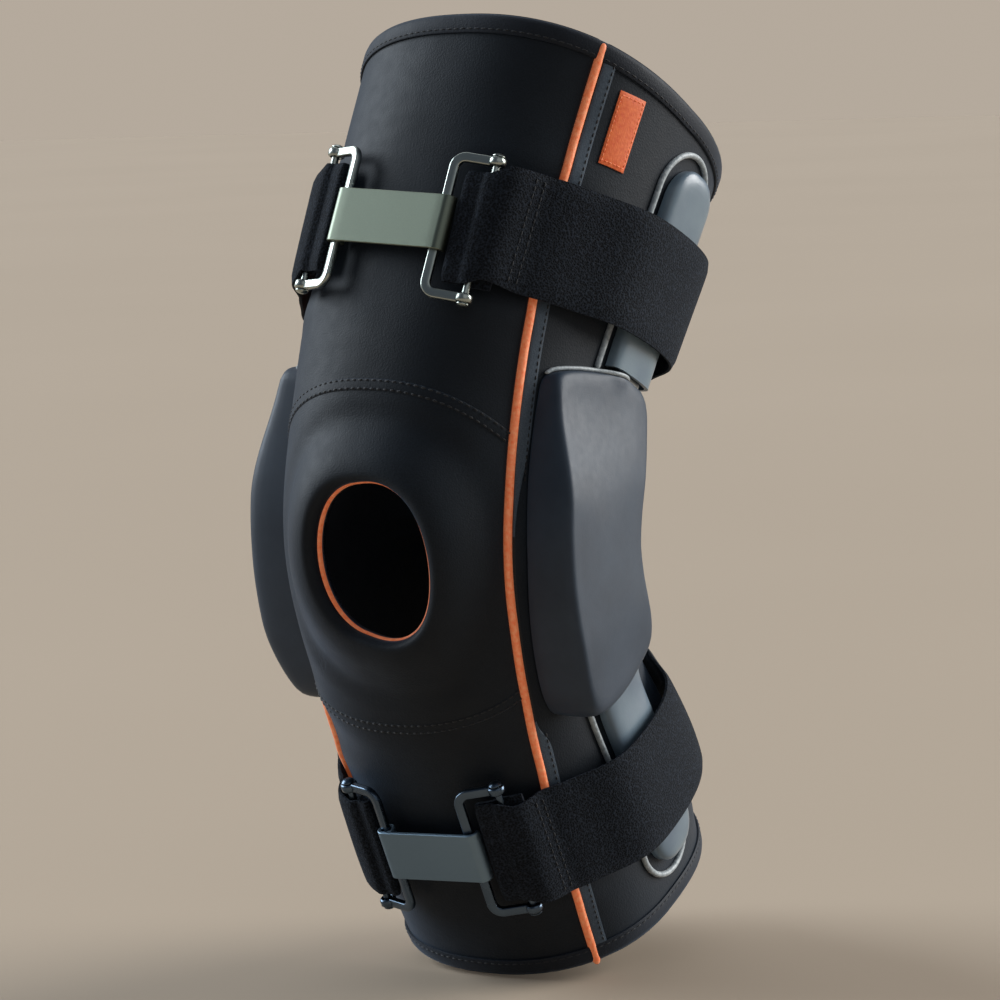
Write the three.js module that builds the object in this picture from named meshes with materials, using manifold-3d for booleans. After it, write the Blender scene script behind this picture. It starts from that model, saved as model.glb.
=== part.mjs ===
// Hinged knee brace for a left leg: a bent neoprene sleeve with a kneecap opening, a geared two-pin
// hinge on each side, and a wrap-round strap with a hook buckle on the thigh and on the calf.
// Millimetres. +X points to the outside of the leg, -Y to the front and +Z up. The origin is the middle
// of the knee, halfway between the two hinges.
import * as THREE from 'three';
import { mergeVertices } from 'three/addons/utils/BufferGeometryUtils.js';
import Module from 'manifold-3d';

const wasm = await Module();
wasm.setup();

const { degToRad, lerp, smoothstep } = THREE.MathUtils;

// ---- Driving dimensions ----
const GAP = 0.3; // clearance between pieces that touch

// The leg's shape. s runs up the centre line from the knee; angles run round the leg in degrees,
// 0 at the outside, 90 at the back, -90 at the front and 180 at the inside.
const LEAN = degToRad(26.5); // the thigh and the calf each lean back this much
const BEND = 46; // length over which the centre line turns at the knee
const ROUNDNESS = 2.35; // exponent of the superellipse cross-section
const STATIONS = [
  // [s, half width, depth in front, depth behind, sideways shift]
  [-182, 57, 58, 72, 3],
  [-120, 60, 60, 78, 2],
  [-70, 59, 58, 66, 0],
  [-30, 60, 63, 55, 0],
  [0, 62, 68, 53, 0],
  [35, 63, 68, 56, 0],
  [80, 66, 69, 62, 1],
  [130, 69, 71, 68, 5],
  [190, 72, 75, 74, 11],
];

const SLEEVE = { thickness: 4, around: 16, along: 6, seamGap: 0.25 };
const KNEE_COLUMNS = 32; // steps round the knee part of the sleeve
const HEM = { height: 8, proud: 0.6 };
const PATELLA = { s: 1.5, angle: -84, halfWidth: 23, halfHeight: 34, tilt: degToRad(9), points: 28 };
const PLUG = [-9, 7]; // what is cut out for the kneecap, from inside the sleeve to outside it
const BUTTRESS = { rim: 9, height: 4 };
const LINING = [[-0.4, -3.6], [-0.4, 0.4], [-1.8, 0.1], [-1.8, -3.3]]; // [outside the edge, out]
const SURFACE_STRETCH = 1.66; // the front surface's length per unit of s at the knee
const FRONT_RADIUS = 66; // the front surface's radius round the leg at the knee
const PIPING = { angle: -42, kneeShift: 9, spread: 80, halfWidth: 1.6, low: 0.3, high: 1.7, steps: 11 };
const CORD_TOP = 0.6; // the width of a piping's top, as a share of its foot's
const INNER_PIPING = { angle: -158, shift: 18, middle: -74, spread: 26, top: 76 };
const LABEL = { s: 165, angle: -26, halfLength: 15, halfAngle: 5.2, low: 0.3, high: 1.1, steps: 5 };

// The hinges. x is the distance from the middle of the leg.
const PIN_RISE = 12; // height of the upper pin over the knee's middle; the lower pin mirrors it
const TEETH = 16; // teeth on the arm's full pitch circle
const MODULE = (2 * PIN_RISE) / TEETH;
const TOOTH = { root: 1.7, start: 0.3, middle: 0.5, tip: 1.3 }; // below and above the pitch circle
const TOOTHED = { from: degToRad(-36), to: degToRad(96) }; // the part of the head with teeth
const PRESSURE = degToRad(20);
const BACKLASH = 0.25;
const PAD_X = [63.3, 65.2];
const INNER_PLATE_X = [65.5, 67.0];
const ARM_X = [67.3, 70.3];
const OUTER_PLATE_X = [70.6, 72.1];
const PIN = { radius: 3, head: 4.8, headX: [72.4, 73.8], bevel: 0.8, bevelHeight: 0.3 };
const STOP = { y: -13.5, radius: 2 };
const PLATE = { back: 14.5, front: -19.5, halfHeight: 26.5, corner: 12 };
const ARM = { halfWidth: 8, upper: 144, lower: 132, skinGap: 1, flatTo: 20, bentFrom: 58, tail: 5 };
const ARM_S = { offset: 13.4, scale: 1.04 }; // turns a distance along an arm into s
const LUG = { radius: 18.5, from: degToRad(-100), to: degToRad(-56) };
const COVER = { foot: 1.6, middle: -5, rounds: 2, columns: 30, hollowLow: -5 };
// The foot of the hinge cover as [s, n], n being the depth behind the centre line, from front to back
// over the top and round below.
const COVER_CORNERS = [
  [0, -33.5],
  [30, -35],
  [63, -37],
  [73, -12],
  [74, 20],
  [30, 22.5],
  [0, 21.5],
  [-48, 23.5],
  [-60, 14],
  [-64, -14],
  [-60, -31],
  [-25, -33],
];
const COVER_SLOT = { from: 30, to: 84, play: 6, low: -4, high: 1.2, side: 2 }; // where an arm passes out
// [scale of the outline, distance from the leg's middle] of the cover and of its hollow
const COVER_SHELL = [[0.99, 70], [0.96, 75.5], [0.88, 77.5]];
const COVER_HOLLOW = [[0.92, 69], [0.9, 73.7], [0.84, 75.3]];
const POCKET = { from: [64, 54], wall: 1.6, sideWall: 6, play: 0.4, end: 4, round: 2 }; // from: upper, lower
const SWEEP = { short: 5, long: 20 }; // how far a cutting shape runs past what it cuts
// turn is how far before the arm's end the cord starts its U; the steps are along a leg and round the U
const POCKET_PIPING = { from: 62, halfSpan: 19.5, halfWidth: 1.1, low: 0.3, high: 1.8, turn: 9, steps: 7 };
const U_TURN = [150, 30]; // degrees, from the front leg of the U to the back one

// The straps and their buckles. Angles are in degrees round the leg.
const STRAP = { halfWidth: 23.5, endHalfWidth: 22.5, thickness: 2.2, clear: 2.6, steps: 44 };
const OVER_ARM = { lift: 6.8, angle: 8, spread: 27 }; // how the straps rise over the arms' pockets
const TAB = { gap: 5.3, half: 0.15, tail: 5 }; // the webbing's sewn tab between a pin and its bar
const STRAP_END = { past: 4, settle: 15 }; // degrees
// rise is how much higher a strap runs in front and behind than at the sides
const THIGH_STRAP = { s: 114, rise: 0, ends: [-64, -77, -108.5, -122.5] };
const CALF_STRAP = { s: -111, rise: 6, ends: [-59, -74, -102, -115.5] };
const WIRE = { radius: 1.75, halfSpan: 27.75, corner: 5, steps: 22 };
const BUCKLE = { out: 6.5, eye: 3.4, pin: 1.5, pinPlay: 0.4, head: 2.6, headLength: 1.3, overlap: 0.5 };
const LINK = { halfWidth: 11, inner: 2.1, outer: 3.6, hookReach: 3, hookWall: 1.5, hookDrop: 1.5 };

// ---- Materials ----
const finish = (color, roughness, metalness = 0) =>
  new THREE.MeshStandardMaterial({ color, roughness, metalness });
const MATERIALS = {
  neoprene: finish(0x23272c, 0.85),
  binding: finish(0x1b1e22, 0.8),
  orange: finish(0xd9703a, 0.7),
  cover: finish(0x3a4048, 0.5),
  greyPiping: finish(0xa4aeb2, 0.4),
  strap: finish(0x14161b, 0.95),
  polishedSteel: finish(0xc4c8c6, 0.25, 1),
  darkSteel: finish(0x6b7784, 0.35, 1),
  aluminium: finish(0xb9bfc4, 0.35, 1),
  plate: finish(0x8f959a, 0.45, 1),
  foam: finish(0x2c2f33, 0.9),
};

// ---- The leg's surface ----
function stationValue(column, s) {
  const last = STATIONS.length - 1;
  const slope = (i) => {
    const before = STATIONS[Math.max(i - 1, 0)];
    const here = STATIONS[i];
    const after = STATIONS[Math.min(i + 1, last)];
    if (i === 0 || i === last) {
      return (after[column] - before[column]) / (after[0] - before[0]);
    }
    const under = here[0] - before[0];
    const over = after[0] - here[0];
    const slopeUnder = (here[column] - before[column]) / under;
    const slopeOver = (after[column] - here[column]) / over;
    return (slopeUnder * over + slopeOver * under) / (under + over);
  };
  let i = 0;
  while (i < last - 1 && s > STATIONS[i + 1][0]) {
    i += 1;
  }
  const length = STATIONS[i + 1][0] - STATIONS[i][0];
  const t = (s - STATIONS[i][0]) / length;
  const u = 1 - t;
  return (
    STATIONS[i][column] * (1 + 2 * t) * u * u +
    STATIONS[i + 1][column] * t * t * (3 - 2 * t) +
    slope(i) * length * t * u * u -
    slope(i + 1) * length * t * t * u
  );
}

// The centre line's point and direction in the YZ plane.
function spine(s) {
  const hyperbola = Math.hypot(s, BEND);
  const ty = (Math.sin(LEAN) * s) / hyperbola;
  const tz = Math.cos(LEAN);
  const length = Math.hypot(ty, tz);
  return { y: Math.sin(LEAN) * (hyperbola - BEND), z: s * tz, ty: ty / length, tz: tz / length };
}

// A point `out` mm outside the leg's surface, at height s and an angle in degrees.
function skin(s, degrees, out = 0) {
  const angle = degToRad(degrees);
  const power = (value) => Math.sign(value) * Math.abs(value) ** (2 / ROUNDNESS);
  const depth = stationValue(Math.sin(angle) < 0 ? 2 : 3, s) + out;
  const n = depth * power(Math.sin(angle));
  const { y, z, ty, tz } = spine(s);
  const x = stationValue(4, s) + (stationValue(1, s) + out) * power(Math.cos(angle));
  return new THREE.Vector3(x, y + n * tz, z - n * ty);
}

// The surface's distance from the middle of the leg on one side, at height s and depth n behind the
// centre line. side is 1 for the outside and -1 for the inside.
function sideX(side, s, n) {
  const depth = stationValue(n < 0 ? 2 : 3, s);
  const fall = (1 - (Math.abs(n) / depth) ** ROUNDNESS) ** (1 / ROUNDNESS);
  return side * stationValue(4, s) + stationValue(1, s) * fall;
}

// The surface point on one side that has a given y and z.
function sideSkin(side, y, z, out) {
  let s = z / Math.cos(LEAN);
  for (let i = 0; i < 12; i += 1) {
    const at = spine(s);
    s += (y - at.y) * at.ty + (z - at.z) * at.tz;
  }
  const at = spine(s);
  const n = (y - at.y) * at.tz - (z - at.z) * at.ty;
  return new THREE.Vector3(side * (sideX(side, s, n) + out), y, z);
}

// ---- Solids ----
// Reverses every triangle of a geometry that has an index.
function turnedInsideOut(geometry) {
  const index = geometry.index.array;
  for (let i = 0; i < index.length; i += 3) {
    [index[i + 1], index[i + 2]] = [index[i + 2], index[i + 1]];
  }
  return geometry;
}

function signedVolume(geometry) {
  const position = geometry.attributes.position;
  const index = geometry.index.array;
  const [a, b, c] = [new THREE.Vector3(), new THREE.Vector3(), new THREE.Vector3()];
  let volume = 0;
  for (let i = 0; i < index.length; i += 3) {
    a.fromBufferAttribute(position, index[i]);
    b.fromBufferAttribute(position, index[i + 1]);
    c.fromBufferAttribute(position, index[i + 2]);
    volume += a.dot(b.cross(c)) / 6;
  }
  return volume;
}

// Keeps only positions, with shared corners merged, and points the faces out.
function closed(geometry) {
  geometry.deleteAttribute('normal');
  geometry.deleteAttribute('uv');
  const merged = mergeVertices(geometry, 1e-4);
  return signedVolume(merged) < 0 ? turnedInsideOut(merged) : merged;
}

// Joins loops of points, each as long as the others, into a closed solid. A ring of loops closes on
// itself; otherwise both ends are capped from the middle of their loop.
function loft(loops, isRing = false) {
  const count = loops[0].length;
  const points = loops.flat();
  const index = [];
  const spans = isRing ? loops.length : loops.length - 1;
  for (let i = 0; i < spans; i += 1) {
    const here = i * count;
    const next = ((i + 1) % loops.length) * count;
    for (let j = 0; j < count; j += 1) {
      const k = (j + 1) % count;
      index.push(here + j, next + j, next + k, here + j, next + k, here + k);
    }
  }
  if (!isRing) {
    for (const end of [0, loops.length - 1]) {
      const middle = new THREE.Vector3();
      loops[end].forEach((point) => middle.addScaledVector(point, 1 / count));
      points.push(middle);
      for (let j = 0; j < count; j += 1) {
        const edge = [end * count + j, end * count + ((j + 1) % count)];
        index.push(points.length - 1, ...(end === 0 ? edge : edge.reverse()));
      }
    }
  }
  return solid(points, index);
}

function solid(points, index) {
  const geometry = new THREE.BufferGeometry().setFromPoints(points);
  geometry.setIndex(index);
  return closed(geometry);
}

// Joins loops that each go up one surface of a thin sheet and down the other. Both ends are capped
// between the two surfaces, point by point.
function panel(loops) {
  const count = loops[0].length;
  const index = [];
  for (let i = 0; i < loops.length - 1; i += 1) {
    for (let j = 0; j < count; j += 1) {
      const k = (j + 1) % count;
      const [here, next] = [i * count, (i + 1) * count];
      index.push(here + j, next + j, next + k, here + j, next + k, here + k);
    }
  }
  for (const end of [0, loops.length - 1]) {
    for (let j = 0; j < count / 2 - 1; j += 1) {
      const [a, b, c, d] = [j, j + 1, count - 2 - j, count - 1 - j].map((k) => end * count + k);
      index.push(...(end === 0 ? [a, b, c, a, c, d] : [a, c, b, a, d, c]));
    }
  }
  return solid(loops.flat(), index);
}

function toManifold(geometry) {
  const mesh = closed(geometry);
  return new wasm.Manifold(
    new wasm.Mesh({
      numProp: 3,
      vertProperties: Float32Array.from(mesh.attributes.position.array),
      triVerts: Uint32Array.from(mesh.index.array),
    }),
  );
}

function fromManifold(manifold) {
  const mesh = manifold.getMesh();
  const geometry = new THREE.BufferGeometry();
  geometry.setAttribute('position', new THREE.BufferAttribute(mesh.vertProperties, 3));
  geometry.setIndex(new THREE.BufferAttribute(mesh.triVerts, 1));
  return geometry;
}

const combine = (method, first, rest) =>
  fromManifold(rest.reduce((result, piece) => result[method](toManifold(piece)), toManifold(first)));
const join = (first, ...rest) => combine('add', first, rest);
const cut = (first, ...rest) => combine('subtract', first, rest);
const common = (first, ...rest) => combine('intersect', first, rest);

const transformed = (geometry, matrix) => closed(geometry.clone().applyMatrix4(matrix));

const range = (count, from, to) =>
  Array.from({ length: count }, (_, i) => lerp(from, to, i / (count - 1)));

// ---- The sleeve ----
const sine = (degrees) => Math.sin(degToRad(degrees));
const topEdge = (angle) => 188 - 12 * sine(angle);
const bottomEdge = (angle) => -176 - 6 * sine(angle);
const thighEdge = (angle) => 73 + 13 * sine(angle);
const calfEdge = (angle) => -68 - 8 * sine(angle);

// Angles from one side of the leg to the other, or once round it.
const panelAngles = (from, to) => range(SLEEVE.around + 1, from, to);
const ringAngles = (count) => Array.from({ length: count }, (_, i) => -180 + (360 * i) / count);

// Cloth with both its surfaces, from one edge up to another, as a loop of points at each angle.
function clothLoops(angles, lower, upper, along, inner, outer) {
  return angles.map((angle) => {
    const heights = range(along + 1, lower(angle), upper(angle));
    const outside = heights.map((s) => skin(s, angle, outer));
    const inside = heights.map((s) => skin(s, angle, inner)).reverse();
    return [...outside, ...inside];
  });
}

// The parts of the sleeve meet along seams, with a small gap at each.
const above = (edge) => (angle) => edge(angle) + SLEEVE.seamGap;
const below = (edge) => (angle) => edge(angle) - SLEEVE.seamGap;

// Half of a tube of cloth: in front of both pipings, or behind them.
function sleevePanel(lower, upper, isFront) {
  const { angle: outside } = PIPING;
  const { angle: inside } = INNER_PIPING;
  const gap = THREE.MathUtils.radToDeg(SLEEVE.seamGap / FRONT_RADIUS);
  const [from, to] = isFront ? [inside + gap, outside - gap] : [outside + gap, inside + 360 - gap];
  const loops = clothLoops(
    panelAngles(from, to),
    above(lower),
    below(upper),
    SLEEVE.along,
    -SLEEVE.thickness,
    0,
  );
  return panel(loops);
}

const topOfCloth = (angle) => topEdge(angle) - HEM.height;
const bottomOfCloth = (angle) => bottomEdge(angle) + HEM.height;
const thighPanel = (isFront) => sleevePanel(thighEdge, topOfCloth, isFront);
const calfPanel = (isFront) => sleevePanel(bottomOfCloth, calfEdge, isFront);

// A point near the kneecap opening: u mm to the outside and v mm up from its middle.
function kneeSkin(u, v, out) {
  const turned = new THREE.Vector2(u, v).rotateAround(new THREE.Vector2(), PATELLA.tilt);
  const degrees = THREE.MathUtils.radToDeg(turned.x / FRONT_RADIUS);
  return skin(PATELLA.s + turned.y / SURFACE_STRETCH, PATELLA.angle + degrees, out);
}

// One ring round the kneecap opening, `wider` mm outside its edge.
function patellaLoop(wider, out) {
  return Array.from({ length: PATELLA.points }, (_, i) => {
    const angle = (2 * Math.PI * i) / PATELLA.points;
    const u = (PATELLA.halfWidth + wider) * Math.cos(angle);
    const v = (PATELLA.halfHeight + wider) * Math.sin(angle);
    return kneeSkin(u, v, out);
  });
}

function kneeSleeve() {
  const angles = ringAngles(KNEE_COLUMNS);
  const edges = [above(calfEdge), below(thighEdge)];
  const tube = loft(clothLoops(angles, ...edges, 2 * SLEEVE.along, -SLEEVE.thickness, 0), true);
  const [under, over] = PLUG;
  return cut(tube, loft([patellaLoop(0, under), patellaLoop(0, over)]));
}

// The padded ring round the kneecap, and the orange edge inside the opening.
function patellaBand(section) {
  const rings = section.map(([wider, out]) => patellaLoop(wider, out));
  const loops = rings[0].map((_, i) => rings.map((ring) => ring[i]));
  return loft(loops, true);
}
const patellaButtress = () => {
  const { rim, height } = BUTTRESS;
  const rolled = [[0.5, GAP], [0.8, height * 0.8], [rim * 0.4, height]];
  return patellaBand([...rolled, [rim, height * 0.5], [rim + 1, GAP]]);
};
const patellaLining = () => patellaBand(LINING);

function hem(lower, upper) {
  const under = -SLEEVE.thickness - HEM.proud;
  return loft(clothLoops(ringAngles(KNEE_COLUMNS), lower, upper, 1, under, HEM.proud), true);
}
const topHem = () => hem((angle) => topEdge(angle) - HEM.height + GAP, topEdge);
const bottomHem = () => hem(bottomEdge, (angle) => bottomEdge(angle) + HEM.height - GAP);

// Cord piping that runs along the leg, on the outside or the inside.
function pipingAngle(side, s) {
  if (side > 0) {
    return PIPING.angle + PIPING.kneeShift * Math.exp(-((s / PIPING.spread) ** 2));
  }
  const { angle, shift, middle, spread } = INNER_PIPING;
  return angle + shift * Math.exp(-(((s - middle) / spread) ** 2));
}

function legPiping(side, from, to) {
  const { low, high, steps } = PIPING;
  const loops = range(steps, from, to).map((s) => {
    const corners = [[-1, low], [1, low], [CORD_TOP, high], [-CORD_TOP, high]];
    const angle = pipingAngle(side, s);
    return corners.map(([across, out]) => skin(s, angle + across * PIPING.halfWidth, out));
  });
  return loft(loops);
}

// The outer piping runs from hem to hem. The inner one stops where the hinge cover hides it.
const pipingEnd = (side) => (side > 0 ? PIPING.angle : INNER_PIPING.angle);
const seamS = { thigh: thighEdge(PIPING.angle), calf: calfEdge(PIPING.angle) };
const thighPiping = (side) =>
  legPiping(side, side > 0 ? seamS.thigh + GAP : INNER_PIPING.top, topOfCloth(pipingEnd(side)) - GAP);
const calfPiping = (side) => legPiping(side, bottomOfCloth(pipingEnd(side)) + GAP, seamS.calf - GAP);
const lateralKneePiping = () => legPiping(1, seamS.calf + GAP, seamS.thigh - GAP);

function labelPatch() {
  const { s: middle, angle, halfLength, halfAngle, low, high, steps } = LABEL;
  const corners = [[-1, low], [1, low], [1, high], [-1, high]];
  const loops = range(steps, middle - halfLength, middle + halfLength).map((s) => {
    return corners.map(([across, out]) => skin(s, angle + across * halfAngle, out));
  });
  return loft(loops);
}

// ---- The hinges ----
// Hinge pieces are drawn in a plane of their own: first coordinate up the limb, second towards the
// back, third out from the leg. side is 1 outside the leg and -1 inside; half is 1 above, -1 below.
function limbMatrix(side, half) {
  const along = new THREE.Vector3(0, Math.sin(LEAN), half * Math.cos(LEAN));
  const back = new THREE.Vector3(0, Math.cos(LEAN), -half * Math.sin(LEAN));
  const outward = new THREE.Vector3(side, 0, 0);
  return new THREE.Matrix4().makeBasis(along, back, outward).setPosition(0, 0, half * PIN_RISE);
}
const plateMatrix = (side) =>
  new THREE.Matrix4().makeBasis(
    new THREE.Vector3(0, 0, 1),
    new THREE.Vector3(0, 1, 0),
    new THREE.Vector3(side, 0, 0),
  );

function slab(shape, [from, to], curveSegments = 8) {
  const depth = to - from;
  const geometry = new THREE.ExtrudeGeometry(shape, { depth, bevelEnabled: false, curveSegments });
  return closed(geometry.translate(0, 0, from));
}

function disc(along, back, radius, span, segments = 14) {
  const shape = new THREE.Shape();
  shape.absarc(along, back, radius, 0, 2 * Math.PI);
  return slab(shape, span, segments / 2);
}

function roundedRectangle(along0, along1, back0, back1, corner) {
  const shape = new THREE.Shape();
  const quarter = Math.PI / 2;
  shape.absarc(along1 - corner, back1 - corner, corner, 0, quarter);
  shape.absarc(along0 + corner, back1 - corner, corner, quarter, 2 * quarter);
  shape.absarc(along0 + corner, back0 + corner, corner, 2 * quarter, 3 * quarter);
  shape.absarc(along1 - corner, back0 + corner, corner, 3 * quarter, 4 * quarter);
  return shape;
}

// The toothed head at an arm's pin. Angles run from the meshing direction towards the back, and the
// teeth are involute; `phase` shifts them so that the two arms' teeth fall between each other.
function gearHead(phase) {
  const pitchRadius = (MODULE * TEETH) / 2;
  const baseRadius = pitchRadius * Math.cos(PRESSURE);
  const rootRadius = pitchRadius - TOOTH.root;
  const { start, middle, tip } = TOOTH;
  const flank = [baseRadius, pitchRadius - start, pitchRadius + middle, pitchRadius + tip];
  const involute = (cosine) => Math.tan(Math.acos(cosine)) - Math.acos(cosine);
  const halfTooth = ((Math.PI * MODULE) / 2 - BACKLASH) / 2 / pitchRadius;
  const halfAngle = (radius) =>
    halfTooth + involute(Math.cos(PRESSURE)) - involute(Math.min(1, baseRadius / radius));
  const pitch = (2 * Math.PI) / TEETH;
  const centres = Array.from({ length: TEETH }, (_, k) => (k - TEETH / 2 + phase) * pitch).filter(
    (angle) => angle > TOOTHED.from && angle < TOOTHED.to,
  );
  const outline = [];
  const add = (radius, angle) =>
    outline.push(new THREE.Vector2(-radius * Math.cos(angle), radius * Math.sin(angle)));
  add(rootRadius, LUG.to);
  for (const centre of centres) {
    add(rootRadius, centre - pitch / 2);
    add(rootRadius, centre - halfAngle(baseRadius));
    flank.forEach((radius) => add(radius, centre - halfAngle(radius)));
    [...flank].reverse().forEach((radius) => add(radius, centre + halfAngle(radius)));
    add(rootRadius, centre + halfAngle(baseRadius));
  }
  const lastTooth = centres[centres.length - 1];
  range(8, lastTooth + pitch / 2, LUG.from + 2 * Math.PI).forEach((angle) => add(rootRadius - 1, angle));
  range(5, LUG.from, LUG.to).forEach((angle) => add(LUG.radius, angle));
  return new THREE.Shape(outline);
}

// The distance of an arm's inner face from the middle of the leg, `along` mm from its pin: flat over
// the hinge, then close to the sleeve.
function armFace(side, half, along) {
  const s = half * (ARM_S.offset + ARM_S.scale * along);
  const besideSkin = sideX(side, s, 0) + ARM.skinGap;
  return lerp(ARM_X[0], besideSkin, smoothstep(along, ARM.flatTo, ARM.bentFrom));
}

// What an arm or a pocket is cut from: half its width, its steps, and how far below the pin it starts.
const SHEET = { reach: 30, steps: 24, below: 30 };
const FAR = [40, 100]; // a span out from the leg that holds every hinge piece

// A sheet that follows an arm's bends, between two distances from its inner face.
function contouredSheet(side, half, from, to, low, high) {
  const steps = range(SHEET.steps, from, to);
  const under = steps.map((along) => new THREE.Vector2(along, armFace(side, half, along) + low));
  const over = steps.map((along) => new THREE.Vector2(along, armFace(side, half, along) + high));
  const shape = new THREE.Shape([...under, ...over.reverse()]);
  const sheet = slab(shape, [-SHEET.reach, SHEET.reach]);
  const swap = new THREE.Matrix4().set(1, 0, 0, 0, 0, 0, 1, 0, 0, 1, 0, 0, 0, 0, 0, 1);
  return transformed(sheet, swap);
}

function bar(from, to, halfWidth, corner) {
  return slab(roundedRectangle(from, to, -halfWidth, halfWidth, corner), FAR, 4);
}

function arm(side, half) {
  const length = half > 0 ? ARM.upper : ARM.lower;
  const head = slab(gearHead(half > 0 ? 0 : 0.5), FAR);
  const blank = join(head, bar(-ARM.tail, length, ARM.halfWidth, ARM.halfWidth - 1));
  const thickness = ARM_X[1] - ARM_X[0];
  const sheet = contouredSheet(side, half, -SHEET.below, length + SWEEP.long, 0, thickness);
  const hole = disc(0, 0, PIN.radius + GAP, FAR);
  return transformed(cut(common(blank, sheet), hole), limbMatrix(side, half));
}

// A fabric channel, closed at its far end, that the end of an arm slides into.
function pocket(side, half) {
  const armEnd = half > 0 ? ARM.upper : ARM.lower;
  const thickness = ARM_X[1] - ARM_X[0];
  const { wall, sideWall, play, end, round } = POCKET;
  const from = POCKET.from[half > 0 ? 0 : 1];
  const { short, long } = SWEEP;
  const halfInside = ARM.halfWidth + play;
  const halfOutside = halfInside + sideWall;
  const low = GAP - ARM.skinGap;
  const high = thickness + play;
  const shell = common(
    bar(from, armEnd + end, halfOutside, halfOutside - round),
    contouredSheet(side, half, from - short, armEnd + long, low, high + wall),
  );
  const hollow = common(
    bar(from - long, armEnd + play, halfInside, halfInside - 1),
    contouredSheet(side, half, from - long - short, armEnd + long, low - short, high),
  );
  return transformed(cut(shell, hollow), limbMatrix(side, half));
}

// Grey cord piping sewn in a U round a pocket.
function pocketPiping(side, half) {
  const { from, halfSpan, halfWidth, low, high, steps } = POCKET_PIPING;
  const turn = (half > 0 ? ARM.upper : ARM.lower) - POCKET_PIPING.turn;
  const matrix = limbMatrix(1, half);
  const route = [
    ...range(steps, from, turn).map((along) => [along, -halfSpan, Math.PI]),
    ...range(steps, ...U_TURN).map((degrees) => [turn, 0, degToRad(degrees)]),
    ...range(steps, turn, from).map((along) => [along, halfSpan, 0]),
  ];
  const loops = route.map(([along, back, angle]) => {
    const isTurn = back === 0;
    const normal = isTurn ? [Math.sin(angle), Math.cos(angle)] : [0, Math.cos(angle)];
    const corners = [[-1, low], [1, low], [CORD_TOP, high], [-CORD_TOP, high]];
    return corners.map(([across, out]) => {
      const reach = (isTurn ? halfSpan : 0) + across * halfWidth;
      const flat = new THREE.Vector3(along + normal[0] * reach, back + normal[1] * reach, 0);
      flat.applyMatrix4(matrix);
      return sideSkin(side, flat.y, flat.z, out);
    });
  });
  return loft(loops);
}

const pinHole = (half, radius, span = FAR) => disc(half * PIN_RISE, 0, radius, span);

function hingePlate(side, span) {
  const { back, front, halfHeight, corner } = PLATE;
  const blank = slab(roundedRectangle(-halfHeight, halfHeight, front, back, corner), span, 3);
  const holes = [1, -1].map((half) => pinHole(half, PIN.radius + GAP));
  const stopHole = disc(0, STOP.y, STOP.radius + GAP, FAR, 14);
  return transformed(cut(blank, ...holes, stopHole), plateMatrix(side));
}

function condylePad(side) {
  const { back, front, halfHeight, corner } = PLATE;
  const inset = 2;
  const reach = halfHeight - inset;
  const outline = roundedRectangle(-reach, reach, front + inset, back - inset, corner - inset);
  return transformed(slab(outline, PAD_X, 4), plateMatrix(side));
}

// A headed pin lying across the leg.
function hingePin(side, half) {
  const profile = [
    [0, INNER_PLATE_X[0]],
    [PIN.radius, INNER_PLATE_X[0]],
    [PIN.radius, PIN.headX[0]],
    [PIN.head, PIN.headX[0]],
    [PIN.head - PIN.bevel, PIN.headX[1] - PIN.bevelHeight],
    [0, PIN.headX[1]],
  ];
  const lathe = new THREE.LatheGeometry(profile.map(([r, x]) => new THREE.Vector2(r, x)), 18);
  lathe.rotateX(Math.PI / 2);
  lathe.translate(half * PIN_RISE, 0, 0);
  return transformed(withoutSlivers(lathe), plateMatrix(side));
}

// Drops the zero-size triangles that a lathe leaves on its axis.
function withoutSlivers(geometry) {
  const merged = closed(geometry);
  const kept = [];
  const index = merged.index.array;
  for (let i = 0; i < index.length; i += 3) {
    const [a, b, c] = index.slice(i, i + 3);
    if (a !== b && b !== c && c !== a) {
      kept.push(a, b, c);
    }
  }
  merged.setIndex(kept);
  return merged;
}

const stopPin = (side) =>
  transformed(disc(0, STOP.y, STOP.radius, [INNER_PLATE_X[0], OUTER_PLATE_X[1]], 14), plateMatrix(side));

// A closed line through a polygon's corners, cut at each corner again and again, then spaced evenly.
function easedOutline(corners, rounds, count) {
  let line = corners.map(([s, n]) => new THREE.Vector3(s, n, 0));
  for (let round = 0; round < rounds; round += 1) {
    line = line.flatMap((point, i) => {
      const next = line[(i + 1) % line.length];
      return [point.clone().lerp(next, 0.25), point.clone().lerp(next, 0.75)];
    });
  }
  const path = new THREE.CurvePath();
  line.forEach((point, i) => path.add(new THREE.LineCurve3(point, line[(i + 1) % line.length])));
  return Array.from({ length: count }, (_, i) => path.getPointAt(i / count));
}

const COVER_OUTLINE = easedOutline(COVER_CORNERS, COVER.rounds, COVER.columns);

// One level of the hinge cover: its outline scaled about its middle, at a distance from the leg's
// middle or, where that is null, `lift` mm off the sleeve.
function coverLoop(side, scale, x, lift = 0) {
  return COVER_OUTLINE.map((point) => {
    const s = point.x * scale;
    const n = COVER.middle + (point.y - COVER.middle) * scale;
    const at = spine(s);
    const distance = x === null ? sideX(side, s, n) + lift : x;
    return new THREE.Vector3(side * distance, at.y + n * at.tz, at.z - n * at.ty);
  });
}

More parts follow.
